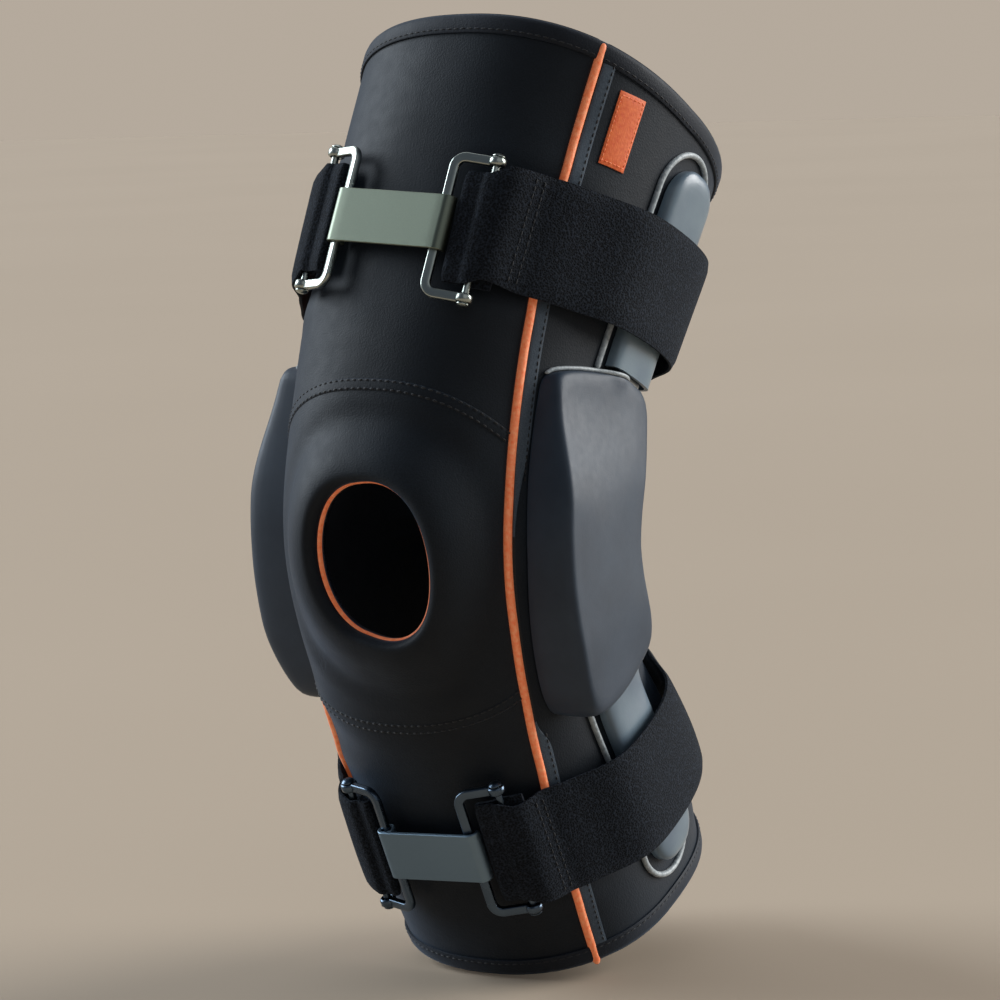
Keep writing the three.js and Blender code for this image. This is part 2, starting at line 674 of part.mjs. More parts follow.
// The moulded cover over a hinge: a shell, open towards the leg, with a slot for each arm.
function hingeCover(side) {
  const shell = loft([
    coverLoop(side, 1, null, COVER.foot),
    ...COVER_SHELL.map(([scale, x]) => coverLoop(side, scale, x)),
  ]);
  const hollow = loft([
    coverLoop(side, COVER_HOLLOW[0][0], null, COVER.hollowLow),
    ...COVER_HOLLOW.map(([scale, x]) => coverLoop(side, scale, x)),
  ]);
  const { from, to, play, low, high, side: sidePlay } = COVER_SLOT;
  const thickness = ARM_X[1] - ARM_X[0];
  const slots = [1, -1].map((half) => {
    const sheet = contouredSheet(side, half, from - play, to + play, low, thickness + high);
    const slot = bar(from, to, ARM.halfWidth + sidePlay, 1);
    return transformed(common(slot, sheet), limbMatrix(side, half));
  });
  return cut(shell, hollow, ...slots);
}

// ---- The straps and buckles ----
const strapMiddle = (strap, angle) => strap.s + strap.rise * sine(angle) ** 2;

// The frame of a buckle: parallel bars along `up`, with the chain of its four axes (strap pin, bar,
// bar, strap pin) laid in the plane across them.
function buckleFrame(strap) {
  const middleAngle = (strap.ends[1] + strap.ends[2]) / 2;
  const s = strapMiddle(strap, middleAngle);
  const origin = skin(s, middleAngle, BUCKLE.out);
  const up = skin(s + 20, middleAngle, BUCKLE.out).sub(skin(s - 20, middleAngle, BUCKLE.out)).normalize();
  const points = strap.ends.map((angle) => {
    const point = skin(strapMiddle(strap, angle), angle, BUCKLE.out);
    return point.addScaledVector(up, -point.clone().sub(origin).dot(up));
  });
  return { up, points };
}

// The matrix that carries (along, out, up) in the plane of two of a buckle's axes.
function chainMatrix(up, from, to) {
  const along = to.clone().sub(from).normalize();
  const out = along.clone().cross(up);
  if (out.dot(from) < 0) {
    out.negate();
  }
  return new THREE.Matrix4().makeBasis(along, out, up).setPosition(from);
}

// A rod along a buckle's bars, drawn in the plane's own coordinates.
const rod = (radius, from, to, sides = 10, along = 0) => {
  const shape = new THREE.Shape();
  shape.absarc(along, 0, radius, 0, 2 * Math.PI);
  return slab(shape, [from, to], sides / 2);
};

// A C-shaped wire with an eye at each end for the strap's pin.
function wireFrame(up, eyes, barPoint) {
  const reach = eyes.distanceTo(barPoint);
  const { radius, halfSpan, corner, steps } = WIRE;
  const at = (along, height) => new THREE.Vector3(along, 0, height);
  const path = new THREE.CurvePath();
  const turn = (from, across, to) => path.add(new THREE.QuadraticBezierCurve3(from, across, to));
  const [start, end] = [reach - corner, halfSpan - corner];
  path.add(new THREE.LineCurve3(at(0, halfSpan), at(start, halfSpan)));
  turn(at(start, halfSpan), at(reach, halfSpan), at(reach, end));
  path.add(new THREE.LineCurve3(at(reach, end), at(reach, -end)));
  turn(at(reach, -end), at(reach, -halfSpan), at(start, -halfSpan));
  path.add(new THREE.LineCurve3(at(start, -halfSpan), at(0, -halfSpan)));
  const section = new THREE.Shape();
  section.absarc(0, 0, radius, 0, 2 * Math.PI);
  const wire = new THREE.ExtrudeGeometry(section, { steps, extrudePath: path, curveSegments: 3 });
  const eye = (height) => rod(BUCKLE.eye, height - radius, height + radius);
  const hole = rod(BUCKLE.pin + BUCKLE.pinPlay, -halfSpan * 2, halfSpan * 2);
  const frame = cut(join(wire, eye(halfSpan), eye(-halfSpan)), hole);
  return transformed(frame, chainMatrix(up, eyes, barPoint));
}

function strapPin(up, eyes, barPoint) {
  const end = WIRE.halfSpan + WIRE.radius + GAP;
  const tip = end + BUCKLE.headLength;
  const heads = [rod(BUCKLE.head, end, tip), rod(BUCKLE.head, -tip, -end)];
  const shank = rod(BUCKLE.pin, -end - BUCKLE.overlap, end + BUCKLE.overlap);
  return transformed(join(shank, ...heads), chainMatrix(up, eyes, barPoint));
}

// The plate that links the two wires: a closed barrel on the inner wire's bar and, at the other end,
// a hook over the outer wire's bar, open towards the leg.
function buckleLink(up, barrel, hooked) {
  const { halfWidth, inner, outer, hookReach, hookWall, hookDrop } = LINK;
  const length = barrel.distanceTo(hooked);
  const block = (from, to, low, high) => {
    const shape = new THREE.Shape();
    shape.moveTo(from, low).lineTo(to, low).lineTo(to, high).lineTo(from, high);
    return slab(shape, [-halfWidth, halfWidth]);
  };
  const far = length + hookReach;
  const plate = block(0, far + hookWall, inner, outer);
  const lip = block(far, far + hookWall, -hookDrop, outer);
  const ring = rod(outer, -halfWidth, halfWidth, 16);
  const hole = rod(inner, -halfWidth * 2, halfWidth * 2, 16);
  return transformed(cut(join(ring, plate, lip), hole), chainMatrix(up, barrel, hooked));
}

// How far the strap's inner face stands off the sleeve: low on the skin, high over the arms' pockets.
function strapLift(angle) {
  const bump = (middle) => Math.exp(-(((angle - middle) / OVER_ARM.spread) ** 4));
  return STRAP.clear + OVER_ARM.lift * (bump(OVER_ARM.angle) + bump(180 - OVER_ARM.angle));
}

// The inner face of the webbing's end in a buckle's plane, as [along, out, direction it faces]: under
// the pin, on to the tip of a sewn tab, and back over the pin.
function tabRoute(reach) {
  const hole = BUCKLE.pin + BUCKLE.pinPlay;
  const tip = reach - TAB.gap - STRAP.thickness;
  const down = -Math.PI / 2;
  const under = [[0, -hole, down], [hole, -hole, down], [2 * hole, -TAB.half, down], [tip, -TAB.half, down]];
  const over = under.map(([along, out, direction]) => [along, -out, -direction]).reverse();
  return [[-TAB.tail, -hole, down], ...under, [tip, 0, down / 2], [tip, 0, -down / 2], ...over];
}

// The webbing's end as sections in the leg's coordinates.
function strapFold(up, pin, barPoint) {
  const matrix = chainMatrix(up, pin, barPoint);
  return tabRoute(pin.distanceTo(barPoint)).map(([along, out, direction]) =>
    [[0, 1], [0, -1], [STRAP.thickness, -1], [STRAP.thickness, 1]].map(([thick, end]) => {
      const x = along + thick * Math.cos(direction);
      const y = out + thick * Math.sin(direction);
      return new THREE.Vector3(x, y, end * STRAP.endHalfWidth).applyMatrix4(matrix);
    }),
  );
}

function strapBand(strap, frame) {
  const [outerPin, outerBar, innerBar, innerPin] = frame.points;
  const [first, last] = [strap.ends[0] + STRAP_END.past, 360 + strap.ends[3] - STRAP_END.past];
  const overPin = BUCKLE.out + BUCKLE.pin + BUCKLE.pinPlay;
  const run = range(STRAP.steps, first, last).map((angle) => {
    const fromEnd = Math.min(angle - first, last - angle);
    const settled = smoothstep(fromEnd, 0, STRAP_END.settle);
    const lift = lerp(overPin, strapLift(angle), settled);
    const halfWidth = lerp(STRAP.endHalfWidth, STRAP.halfWidth, settled);
    const s = strapMiddle(strap, angle);
    const edges = [s + halfWidth, s - halfWidth];
    return [
      skin(edges[0], angle, lift),
      skin(edges[1], angle, lift),
      skin(edges[1], angle, lift + STRAP.thickness),
      skin(edges[0], angle, lift + STRAP.thickness),
    ];
  });
  const start = strapFold(frame.up, outerPin, outerBar);
  const end = strapFold(frame.up, innerPin, innerBar).reverse();
  return loft([...start, ...run, ...end]);
}

// ---- Assembly ----
const brace = new THREE.Group();

function place(name, geometry, material) {
  const shaded = geometry.toNonIndexed();
  shaded.computeVertexNormals();
  const mesh = new THREE.Mesh(shaded, MATERIALS[material]);
  mesh.name = name;
  brace.add(mesh);
}

place('thigh_front_panel', thighPanel(true), 'neoprene');
place('thigh_back_panel', thighPanel(false), 'neoprene');
place('knee_sleeve', kneeSleeve(), 'neoprene');
place('calf_front_panel', calfPanel(true), 'neoprene');
place('calf_back_panel', calfPanel(false), 'neoprene');
place('lateral_knee_piping', lateralKneePiping(), 'orange');
place('top_hem', topHem(), 'binding');
place('bottom_hem', bottomHem(), 'binding');
place('patella_buttress', patellaButtress(), 'neoprene');
place('patella_edge_lining', patellaLining(), 'orange');
place('label_patch', labelPatch(), 'orange');

for (const [sideName, side] of [['lateral', 1], ['medial', -1]]) {
  place(`${sideName}_thigh_piping`, thighPiping(side), 'orange');
  place(`${sideName}_calf_piping`, calfPiping(side), 'orange');
  place(`${sideName}_inner_plate`, hingePlate(side, INNER_PLATE_X), 'plate');
  place(`${sideName}_outer_plate`, hingePlate(side, OUTER_PLATE_X), 'plate');
  place(`${sideName}_condyle_pad`, condylePad(side), 'foam');
  place(`${sideName}_stop_pin`, stopPin(side), 'polishedSteel');
  place(`${sideName}_hinge_cover`, hingeCover(side), 'cover');
  for (const [halfName, half] of [['upper', 1], ['lower', -1]]) {
    place(`${sideName}_${halfName}_arm`, arm(side, half), 'aluminium');
    place(`${sideName}_${halfName}_pin`, hingePin(side, half), 'polishedSteel');
    place(`${sideName}_${halfName}_pocket`, pocket(side, half), 'cover');
    place(`${sideName}_${halfName}_pocket_piping`, pocketPiping(side, half), 'greyPiping');
  }
}

const LIMBS = [['thigh', THIGH_STRAP, 'polishedSteel'], ['calf', CALF_STRAP, 'darkSteel']];
for (const [limb, strap, steel] of LIMBS) {
  const frame = buckleFrame(strap);
  const [outerPin, outerBar, innerBar, innerPin] = frame.points;
  place(`${limb}_strap`, strapBand(strap, frame), 'strap');
  place(`${limb}_buckle_lateral_frame`, wireFrame(frame.up, outerPin, outerBar), steel);
  place(`${limb}_buckle_medial_frame`, wireFrame(frame.up, innerPin, innerBar), steel);
  place(`${limb}_buckle_lateral_pin`, strapPin(frame.up, outerPin, outerBar), steel);
  place(`${limb}_buckle_medial_pin`, strapPin(frame.up, innerPin, innerBar), steel);
  place(`${limb}_buckle_link`, buckleLink(frame.up, innerBar, outerBar), steel);
}

export default brace;
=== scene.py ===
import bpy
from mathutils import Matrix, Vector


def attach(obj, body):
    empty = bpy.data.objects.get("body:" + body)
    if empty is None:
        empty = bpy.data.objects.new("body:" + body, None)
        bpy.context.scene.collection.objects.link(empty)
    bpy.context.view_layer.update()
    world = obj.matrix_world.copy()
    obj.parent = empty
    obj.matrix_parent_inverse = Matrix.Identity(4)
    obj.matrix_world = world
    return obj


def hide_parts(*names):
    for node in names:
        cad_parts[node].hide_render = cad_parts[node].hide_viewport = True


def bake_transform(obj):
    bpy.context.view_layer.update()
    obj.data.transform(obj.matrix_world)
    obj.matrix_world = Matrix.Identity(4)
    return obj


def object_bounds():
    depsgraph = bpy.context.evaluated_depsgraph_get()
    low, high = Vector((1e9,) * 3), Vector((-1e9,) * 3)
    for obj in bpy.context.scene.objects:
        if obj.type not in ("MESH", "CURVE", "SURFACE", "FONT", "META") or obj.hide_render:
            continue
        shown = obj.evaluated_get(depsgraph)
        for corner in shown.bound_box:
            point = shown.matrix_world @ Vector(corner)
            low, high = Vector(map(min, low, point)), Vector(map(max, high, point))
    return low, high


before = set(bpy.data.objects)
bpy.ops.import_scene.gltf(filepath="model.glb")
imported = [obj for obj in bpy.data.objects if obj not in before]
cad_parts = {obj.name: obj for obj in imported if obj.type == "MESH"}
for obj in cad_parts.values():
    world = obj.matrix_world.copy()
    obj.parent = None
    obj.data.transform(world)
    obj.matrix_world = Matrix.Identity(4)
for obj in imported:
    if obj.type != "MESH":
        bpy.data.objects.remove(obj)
cad_box = [list(corner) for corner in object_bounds()]

# A hinged knee brace in a studio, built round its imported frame. Lengths are in millimetres until a mesh
# is made; every mesh is in metres, in the frame's own axes: +X to the outside of the leg, -Y to the
# front, +Z up, with the origin in the middle of the knee. s runs up the centre line of the leg. Angles
# run round the leg in degrees: 0 outside, 90 back, -90 front, 180 inside. `out` is the distance
# outside the leg's surface.
import math

import bmesh
import bpy
import numpy as np
from mathutils import Matrix, Vector

MM = 0.001
SIDES = {"lateral": 1, "medial": -1}
LEVELS = {"upper": 1, "lower": -1}
LIMBS = {"upper": "thigh", "lower": "calf"}

# ---- The leg's shape ----
LEAN = math.radians(26.5)
BEND = 46
ROUNDNESS = 2.35
STATIONS = np.array(
    [  # s, half width, depth in front, depth behind, sideways shift
        (-182, 57, 58, 72, 3),
        (-120, 60, 60, 78, 2),
        (-70, 59, 58, 66, 0),
        (-30, 60, 63, 55, 0),
        (0, 62, 68, 53, 0),
        (35, 63, 68, 56, 0),
        (80, 66, 69, 62, 1),
        (130, 69, 71, 68, 5),
        (190, 72, 75, 74, 11),
    ],
    float,
)

# ---- The sleeve ----
SLEEVE = {"thickness": 4.0, "level": 60.0, "rim": 3.2}
EDGES = {1: (188.0, -12.0), -1: (-176.0, -6.0)}  # s of the top and bottom edge, and how far they slant
ROW = 3.0
COLUMN = 2.5
HEM_START = 1.5
OPENING = {"s": 1.5, "angle": -84.0, "half_width": 23.0, "half_height": 34.0, "tilt": math.radians(9)}
FAN = {  # half its height and half its angle, and where its rings lie in thousandths of the way out
    "rows": 36,
    "angle": 35,
    "shares": [0, 12, 35, 70, 115, 170, 240, 320, 410, 510, 620, 740, 870],
}
GROOVE = {"depth": 1.2, "half_width": 2.7}
SURFACE_STRETCH = 1.66
FRONT_RADIUS = 66.0
PIPING = {"angle": -42.0, "knee_shift": 9.0, "spread": 80.0}
INNER_PIPING = {"angle": -158.0, "forward": 18.0, "s": -74.0, "spread": 26.0, "ends": (-47.0, 70.0)}
# CORD's seam entry is the half width of the near black band of painted shade along each piping.
CORD = {"half_width": 1.75, "low": -0.5, "high": 1.75, "seam": 2.9}
TAPE = {"aside": 2.1, "narrow": 0.4, "wide": 2.3, "row_inset": 0.9}
LABEL = {"s": 165.0, "angle": -26.0, "half_length": 15.0, "half_angle": 5.2, "border": 0.86}

# ---- The hinges ----
PIN_RISE = 12.0
ARM_X = (67.3, 70.3)
ARM_HALF_WIDTH = 8.0
ARM_LENGTH = {1: 144.0, -1: 132.0}
ARM_SKIN_GAP = 1.0
PIN_HOLE = 3.3
GEAR = {"teeth": 16, "pressure": math.radians(20), "root": 1.7, "lug": 18.5, "backlash": 0.25}
COVER_MIDDLE = -5.0
COVER_TOP = 77.5
COVER_WALL = 1.6
COVER_COUNT = 168
COVER_CORNERS = {  # s and n, round the cover's foot from front to back over the top, and back below
    "upper": [(0, -33.5), (30, -35), (56, -37), (65, -37.5), (69, -28), (73, -12), (75, 4), (74, 20)]
    + [(60, 23), (30, 22.5), (0, 21.5)],
    "lower": [(0, 21.5), (-30, 22.5), (-48, 23.5), (-57, 18), (-61, 2), (-64, -14), (-61, -29)]
    + [(-50, -32.5), (-25, -33), (0, -33.5)],
}
COVER_LEVELS = [  # the share of the outline's size, and of the way from foot to crown
    *[(1.0, 0.0), (1.0, 0.10), (1.003, 0.40), (1.0, 0.62), (0.992, 0.77), (0.975, 0.88), (0.95, 0.955)],
    *[(0.915, 0.99), *((scale, 1.0) for scale in (0.87, 0.8, 0.7, 0.58, 0.45, 0.31, 0.17, 0.05))],
]
POCKET = {"from": {1: 60.0, -1: 50.0}, "half_width": 14.4, "height": 5.6, "wall": 1.4, "end": 4.0}
POCKET_CORD = {"from": {1: 58.0, -1: 49.0}, "span": 19.5, "radius": 1.25, "turn": 9.0, "out": 0.75}
PAD = {  # each face as its distance from the middle of the leg, and its crown
    "middle": -2.5,
    "half_width": 15,
    "half_height": 24.5,
    "outer": (63.95, 1.15),
    "inner": (63.75, -0.35),
}

# ---- The straps and buckles ----
STRAP = {"half_width": 23.5, "end_half_width": 22.5, "thickness": 2.2, "clear": 2.6, "tab_gap": 5.3}
OVER_ARM = {"lift": 6.8, "angle": 8.0, "spread": 27.0}
STRAPS = {
    "thigh": {"s": 114.0, "rise": 0.0, "ends": (-64.0, -77.0, -108.5, -122.5)},
    "calf": {"s": -111.0, "rise": 6.0, "ends": (-59.0, -74.0, -102.0, -115.5)},
}
STRAP_POINTS = 15
STRAP_STITCHES = {"rows": (9.0, 12.0), "half_span": 19.5, "count": 14}
WIRE = {"radius": 1.75, "half_width": 1.9, "half_height": 1.35, "half_span": 27.75, "corner": 4.5}
WIRE_EASE = 0.55
BUCKLE = {"out": 6.5, "eye": 3.4, "pin": 1.5, "play": 0.4, "head": 2.6}
LINK = {"middle": 2.85, "half_thickness": 0.75, "half_width": 11.0, "past": 0.9, "curl": 318}


# ---- Small mathematics ----
def smooth(x, low, high):
    t = np.clip((np.asarray(x, float) - low) / (high - low), 0, 1)
    return t * t * (3 - 2 * t)


def bump(x):
    """1 at 0, falling smoothly to 0 at -1 and 1."""
    return np.where(np.abs(x) < 1, (1 - np.minimum(np.abs(x), 1) ** 2) ** 2, 0.0)


def signed_power(value, exponent):
    return np.sign(value) * np.abs(value) ** exponent


def unit(v):
    return v / np.maximum(np.linalg.norm(v, axis=-1, keepdims=True), 1e-9)


def run_along(line):
    """The distance of each of a line's points from its start."""
    return np.concatenate([[0], np.cumsum(np.linalg.norm(np.diff(line, axis=0), axis=1))])


def station(column, s):
    """A smooth curve through one column of STATIONS."""
    place, value = STATIONS[:, 0], STATIONS[:, column]
    step = np.diff(place)
    rise = np.diff(value) / step
    inner = (rise[:-1] * step[1:] + rise[1:] * step[:-1]) / (step[1:] + step[:-1])
    slope = np.concatenate([rise[:1], inner, rise[-1:]])
    s = np.asarray(s, float)
    i = np.clip(np.searchsorted(place, s) - 1, 0, len(step) - 1)
    t = (s - place[i]) / step[i]
    u = 1 - t
    curve = value[i] * (1 + 2 * t) * u * u + value[i + 1] * t * t * (3 - 2 * t)
    return curve + step[i] * (slope[i] * t * u * u - slope[i + 1] * t * t * u)


def spine(s):
    """The centre line's y and z, and its direction's y and z."""
    s = np.asarray(s, float)
    reach = np.hypot(s, BEND)
    ty = math.sin(LEAN) * s / reach
    length = np.hypot(ty, math.cos(LEAN))
    y = math.sin(LEAN) * (reach - BEND)
    return y, s * math.cos(LEAN), ty / length, math.cos(LEAN) / length


def beside_spine(s, n, x):
    """The point at depth n behind the centre line and x from the middle of the leg."""
    y, z, ty, tz = spine(s)
    return np.stack([x, y + n * tz, z - n * ty], -1)


def skin(s, degrees, out=0.0):
    s, degrees, out = np.broadcast_arrays(*(np.asarray(v, float) for v in (s, degrees, out)))
    angle = np.radians(degrees)
    depth = np.where(np.sin(angle) < 0, station(2, s), station(3, s)) + out
    n = depth * signed_power(np.sin(angle), 2 / ROUNDNESS)
    x = station(4, s) + (station(1, s) + out) * signed_power(np.cos(angle), 2 / ROUNDNESS)
    return beside_spine(s, n, x)


def side_x(side, s, n):
    """The surface's distance from the middle of the leg, at a depth n behind the centre line."""
    depth = np.where(n < 0, station(2, s), station(3, s))
    fall = np.maximum(1 - (np.abs(n) / depth) ** ROUNDNESS, 0) ** (1 / ROUNDNESS)
    return side * station(4, s) + station(1, s) * fall


def side_skin(side, y, z, out):
    """The surface point on one side that has a given y and z."""
    s = z / math.cos(LEAN)
    for _ in range(12):
        at_y, at_z, ty, tz = spine(s)
        s = s + (y - at_y) * ty + (z - at_z) * tz
    at_y, at_z, ty, tz = spine(s)
    n = (y - at_y) * tz - (z - at_z) * ty
    return np.stack([side * (side_x(side, s, n) + out), y, z], -1)


# ---- Relief of the sleeve ----
def knee_place(s, degrees):
    """Millimetres across and up from the middle of the kneecap opening, along its own axes."""
    across = np.radians(np.asarray(degrees, float) - OPENING["angle"]) * FRONT_RADIUS
    up = (np.asarray(s, float) - OPENING["s"]) * SURFACE_STRETCH
    c, n = math.cos(OPENING["tilt"]), math.sin(OPENING["tilt"])
    return across * c + up * n, up * c - across * n


def beyond_opening(s, degrees):
    """Millimetres outside the edge of the kneecap opening."""
    u, v = knee_place(s, degrees)
    ratio = np.hypot(u / OPENING["half_width"], v / OPENING["half_height"])
    return np.hypot(u, v) * (1 - 1 / np.maximum(ratio, 1e-6))


def off_side(degrees):
    """0 under the hinges and arms on both sides of the leg, 1 in front and behind."""
    turned = np.abs((np.asarray(degrees, float) + 90) % 180 - 90)
    return smooth(turned, 24, 44)


def folds(s, degrees):
    """Gentle drape lines: round the front under the kneecap, and creases behind the knee."""
    s, degrees = np.asarray(s, float), np.asarray(degrees, float)
    angle = np.radians(degrees)
    drape = 0.35 * np.sin(s / 13 + 2.2 * np.sin(angle * 2 + 0.7)) * np.sin(s / 47 + 3 * angle)
    behind = np.cos(np.radians(degrees - 90))
    crease = np.sin(2 * math.pi * s / 15 + 0.9 * np.sin(3 * angle)) - 0.3
    crease = 1.5 * crease * bump(s / 52) * smooth(behind, 0.2, 0.9)
    below = 0.55 * np.sin((s + 0.35 * degrees) / 5.5) * bump((s + 52) / 26) * smooth(-behind, 0.3, 0.8)
    return (drape + crease + below) * off_side(degrees)


def squeeze(s, degrees):
    """The sleeve gives way under a strap and stands a little proud beside it."""
    total = 0.0
    for strap in STRAPS.values():
        away = np.abs(np.asarray(s, float) - strap_middle(strap, degrees))
        total = total - 0.5 * smooth(away, 26, 18) + 0.5 * bump((away - 31) / 8)
    buckle = bump((np.asarray(degrees, float) + 95) / 40)
    return total * (1 - buckle) * off_side(degrees)


def relief(s, degrees):
    away = beyond_opening(s, degrees)
    dome = 5.4 * smooth(away, 30, 4) - 0.9 * bump((away - 33) / 9)
    return dome + folds(s, degrees) + squeeze(s, degrees)


def cloth(s, degrees, out=0.0):
    return skin(s, degrees, relief(s, degrees) + out)


def cloth_normal(s, degrees):
    up = cloth(s + 0.5, degrees) - cloth(s - 0.5, degrees)
    round_leg = cloth(s, degrees + 0.5) - cloth(s, degrees - 0.5)
    normal = unit(np.cross(round_leg, up))
    outward = cloth(s, degrees, 1.0) - cloth(s, degrees)
    return normal * np.sign((normal * outward).sum(-1, keepdims=True))


# ---- Materials ----
def linear(code):
    """A colour code such as "23272c" as linear red, green, blue and alpha."""
    parts = [int(code[i : i + 2], 16) / 255 for i in (0, 2, 4)]
    return [p / 12.92 if p <= 0.04045 else ((p + 0.055) / 1.055) ** 2.4 for p in parts] + [1.0]


class Look:
    """A procedural material: a Principled shader with noise in its colour, roughness and height."""

    def __init__(self, name, roughness=0.5, metallic=0.0):
        self.material = bpy.data.materials.new(name)
        self.material.use_nodes = True
        self.tree = self.material.node_tree
        self.shader = self.tree.nodes["Principled BSDF"]
        self.set("Roughness", roughness)
        self.set("Metallic", metallic)
        self.place = self.node("TexCoord").outputs["Object"]
        self.normal = None

    def set(self, socket, value):
        self.shader.inputs[socket].default_value = value

    def drive(self, socket, output):
        self.tree.links.new(output, self.shader.inputs[socket])

    def node(self, kind, inputs=None, **settings):
        node = self.tree.nodes.new(f"ShaderNode{kind}")
        for key, value in settings.items():
            setattr(node, key, value)
        for key, value in (inputs or {}).items():
            if isinstance(value, bpy.types.NodeSocket):
                self.tree.links.new(value, node.inputs[key])
            else:
                node.inputs[key].default_value = value
        return node

    def texture(self, kind, output, size, stretch=(1, 1, 1), **inputs):
        """A texture with features about `size` mm across."""
        place = self.node("Mapping", {"Vector": self.place, "Scale": stretch}).outputs["Vector"]
        return self.node(kind, {"Vector": place, "Scale": 1 / (size * MM), **inputs}).outputs[output]

    def noise(self, size, detail=2.0, stretch=(1, 1, 1), rough=0.5):
        return self.texture("TexNoise", "Fac", size, stretch, Detail=detail, Roughness=rough)

    def cells(self, size):
        return self.texture("TexVoronoi", "Distance", size)

    def multiply(self, a, b):
        return self.node("Math", {0: a, 1: b}, operation="MULTIPLY").outputs[0]

    def colour(self, fac, dark, light, low=0.35, high=0.65):
        ramp = self.node("ValToRGB", {"Fac": fac})
        for end, position, code in zip(ramp.color_ramp.elements, (low, high), (dark, light)):
            end.position, end.color = position, linear(code)
        self.drive("Base Color", ramp.outputs["Color"])

    def vary_roughness(self, fac, least, most):
        inputs = {"Value": fac, "From Min": 0.3, "From Max": 0.7, "To Min": least, "To Max": most}
        self.drive("Roughness", self.node("MapRange", inputs).outputs["Result"])

    def bumps(self, fac, depth, strength=1.0):
        """Adds relief `depth` mm high; calls stack."""
        inputs = {"Height": fac, "Distance": depth * MM, "Strength": strength}
        if self.normal is not None:
            inputs["Normal"] = self.normal
        self.normal = self.node("Bump", inputs).outputs["Normal"]
        self.drive("Normal", self.normal)

    def sheen(self, weight, roughness, tint):
        self.set("Sheen Weight", weight)
        self.set("Sheen Roughness", roughness)
        self.set("Sheen Tint", linear(tint))


def neoprene(name, dark, light, roughness):
    """Nylon jersey bonded to foam: fine knitted grain, small tone changes and a soft bluish sheen."""
    look = Look(name, roughness)
    tone = look.noise(60, detail=3)
    grain = look.noise(0.55, detail=1)
    look.colour(look.multiply(look.multiply(tone, tone), grain), dark, light, 0.0, 0.25)
    look.bumps(look.cells(0.75), 0.10, 0.6)
    look.bumps(look.noise(2.4), 0.06, 0.4)
    look.vary_roughness(look.noise(6), roughness - 0.02, roughness + 0.03)
    look.sheen(0.35, 0.4, "8fa6c4")
    look.set("Specular IOR Level", 0.22)
    return look.material


def thread(name, dark, light):
    look = Look(name, 0.7)
    look.colour(look.noise(0.5), dark, light)
    look.bumps(look.noise(0.35), 0.05)
    look.sheen(0.4, 0.4, "c8d0d8")
    return look.material


def cord_cover(name, dark, light, roughness, sheen, painted_glow=0.0):
    """The woven cover of a piping cord, with fine slanting ribs; it can emit a little of its dark colour,
    painted light that makes it glow though it is no lamp.
    """
    look = Look(name, roughness)
    look.colour(look.noise(1.6, detail=3), dark, light, 0.3, 0.7)
    look.bumps(look.noise(0.6, detail=1, stretch=(1, 1, 0.5)), 0.10, 0.7)
    look.sheen(sheen, 0.4, "ffd9c0")
    # Painted light: the cord emits its own dark orange, so it looks brighter than the lamps make it.
    look.set("Emission Color", linear(dark))
    look.set("Emission Strength", painted_glow)
    return look.material


def loop_webbing():
    """Unbroken loop pile on a woven base: near black with paler tips of loops."""
    look = Look("loop_webbing", 0.85)
    loops = look.cells(0.85)
    fuzz = look.noise(0.5, detail=4, rough=0.75)
    look.colour(look.multiply(loops, fuzz), "030508", "262d37", 0.12, 0.5)
    look.bumps(loops, 0.3, 0.8)
    look.bumps(fuzz, 0.2, 0.6)
    look.sheen(0.12, 0.5, "7f90a8")
    look.set("Specular IOR Level", 0.15)
    return look.material


def coated(name, dark, light, roughness, coat):
    """A smooth moulded or coated panel with a fine leather-like grain."""
    look = Look(name, roughness)
    look.colour(look.noise(22, detail=3), dark, light, 0.3, 0.7)
    look.bumps(look.cells(0.7), 0.04, 0.4)
    look.vary_roughness(look.noise(3, detail=4), roughness - 0.02, roughness + 0.03)
    look.set("Specular IOR Level", 0.35)
    look.set("Coat Weight", coat)
    look.set("Coat Roughness", 0.3)
    return look.material


def metal(name, dark, light, roughness, grain, brushed=1):
    """Metal with faint streaks of tone and gloss, drawn out along Z where it is brushed."""
    look = Look(name, roughness, 1.0)
    streaks = look.noise(grain, stretch=(1, 1, brushed))
    look.colour(streaks, dark, light, 0.25, 0.75)
    look.vary_roughness(streaks, roughness - 0.02, roughness + 0.05)
    look.bumps(streaks, 0.004, 0.5)
    return look.material


def foam_look():
    look = Look("closed_cell_foam", 0.9)
    look.colour(look.noise(3, detail=4), "1c1f22", "2c3034")
    look.bumps(look.cells(0.9), 0.2, 0.8)
    return look.material


def floor_look():
    look = Look("studio_floor", 0.8)
    look.colour(look.noise(900), "b09f8b", "b2a18d")
    look.bumps(look.noise(4), 0.03, 0.2)
    return look.material


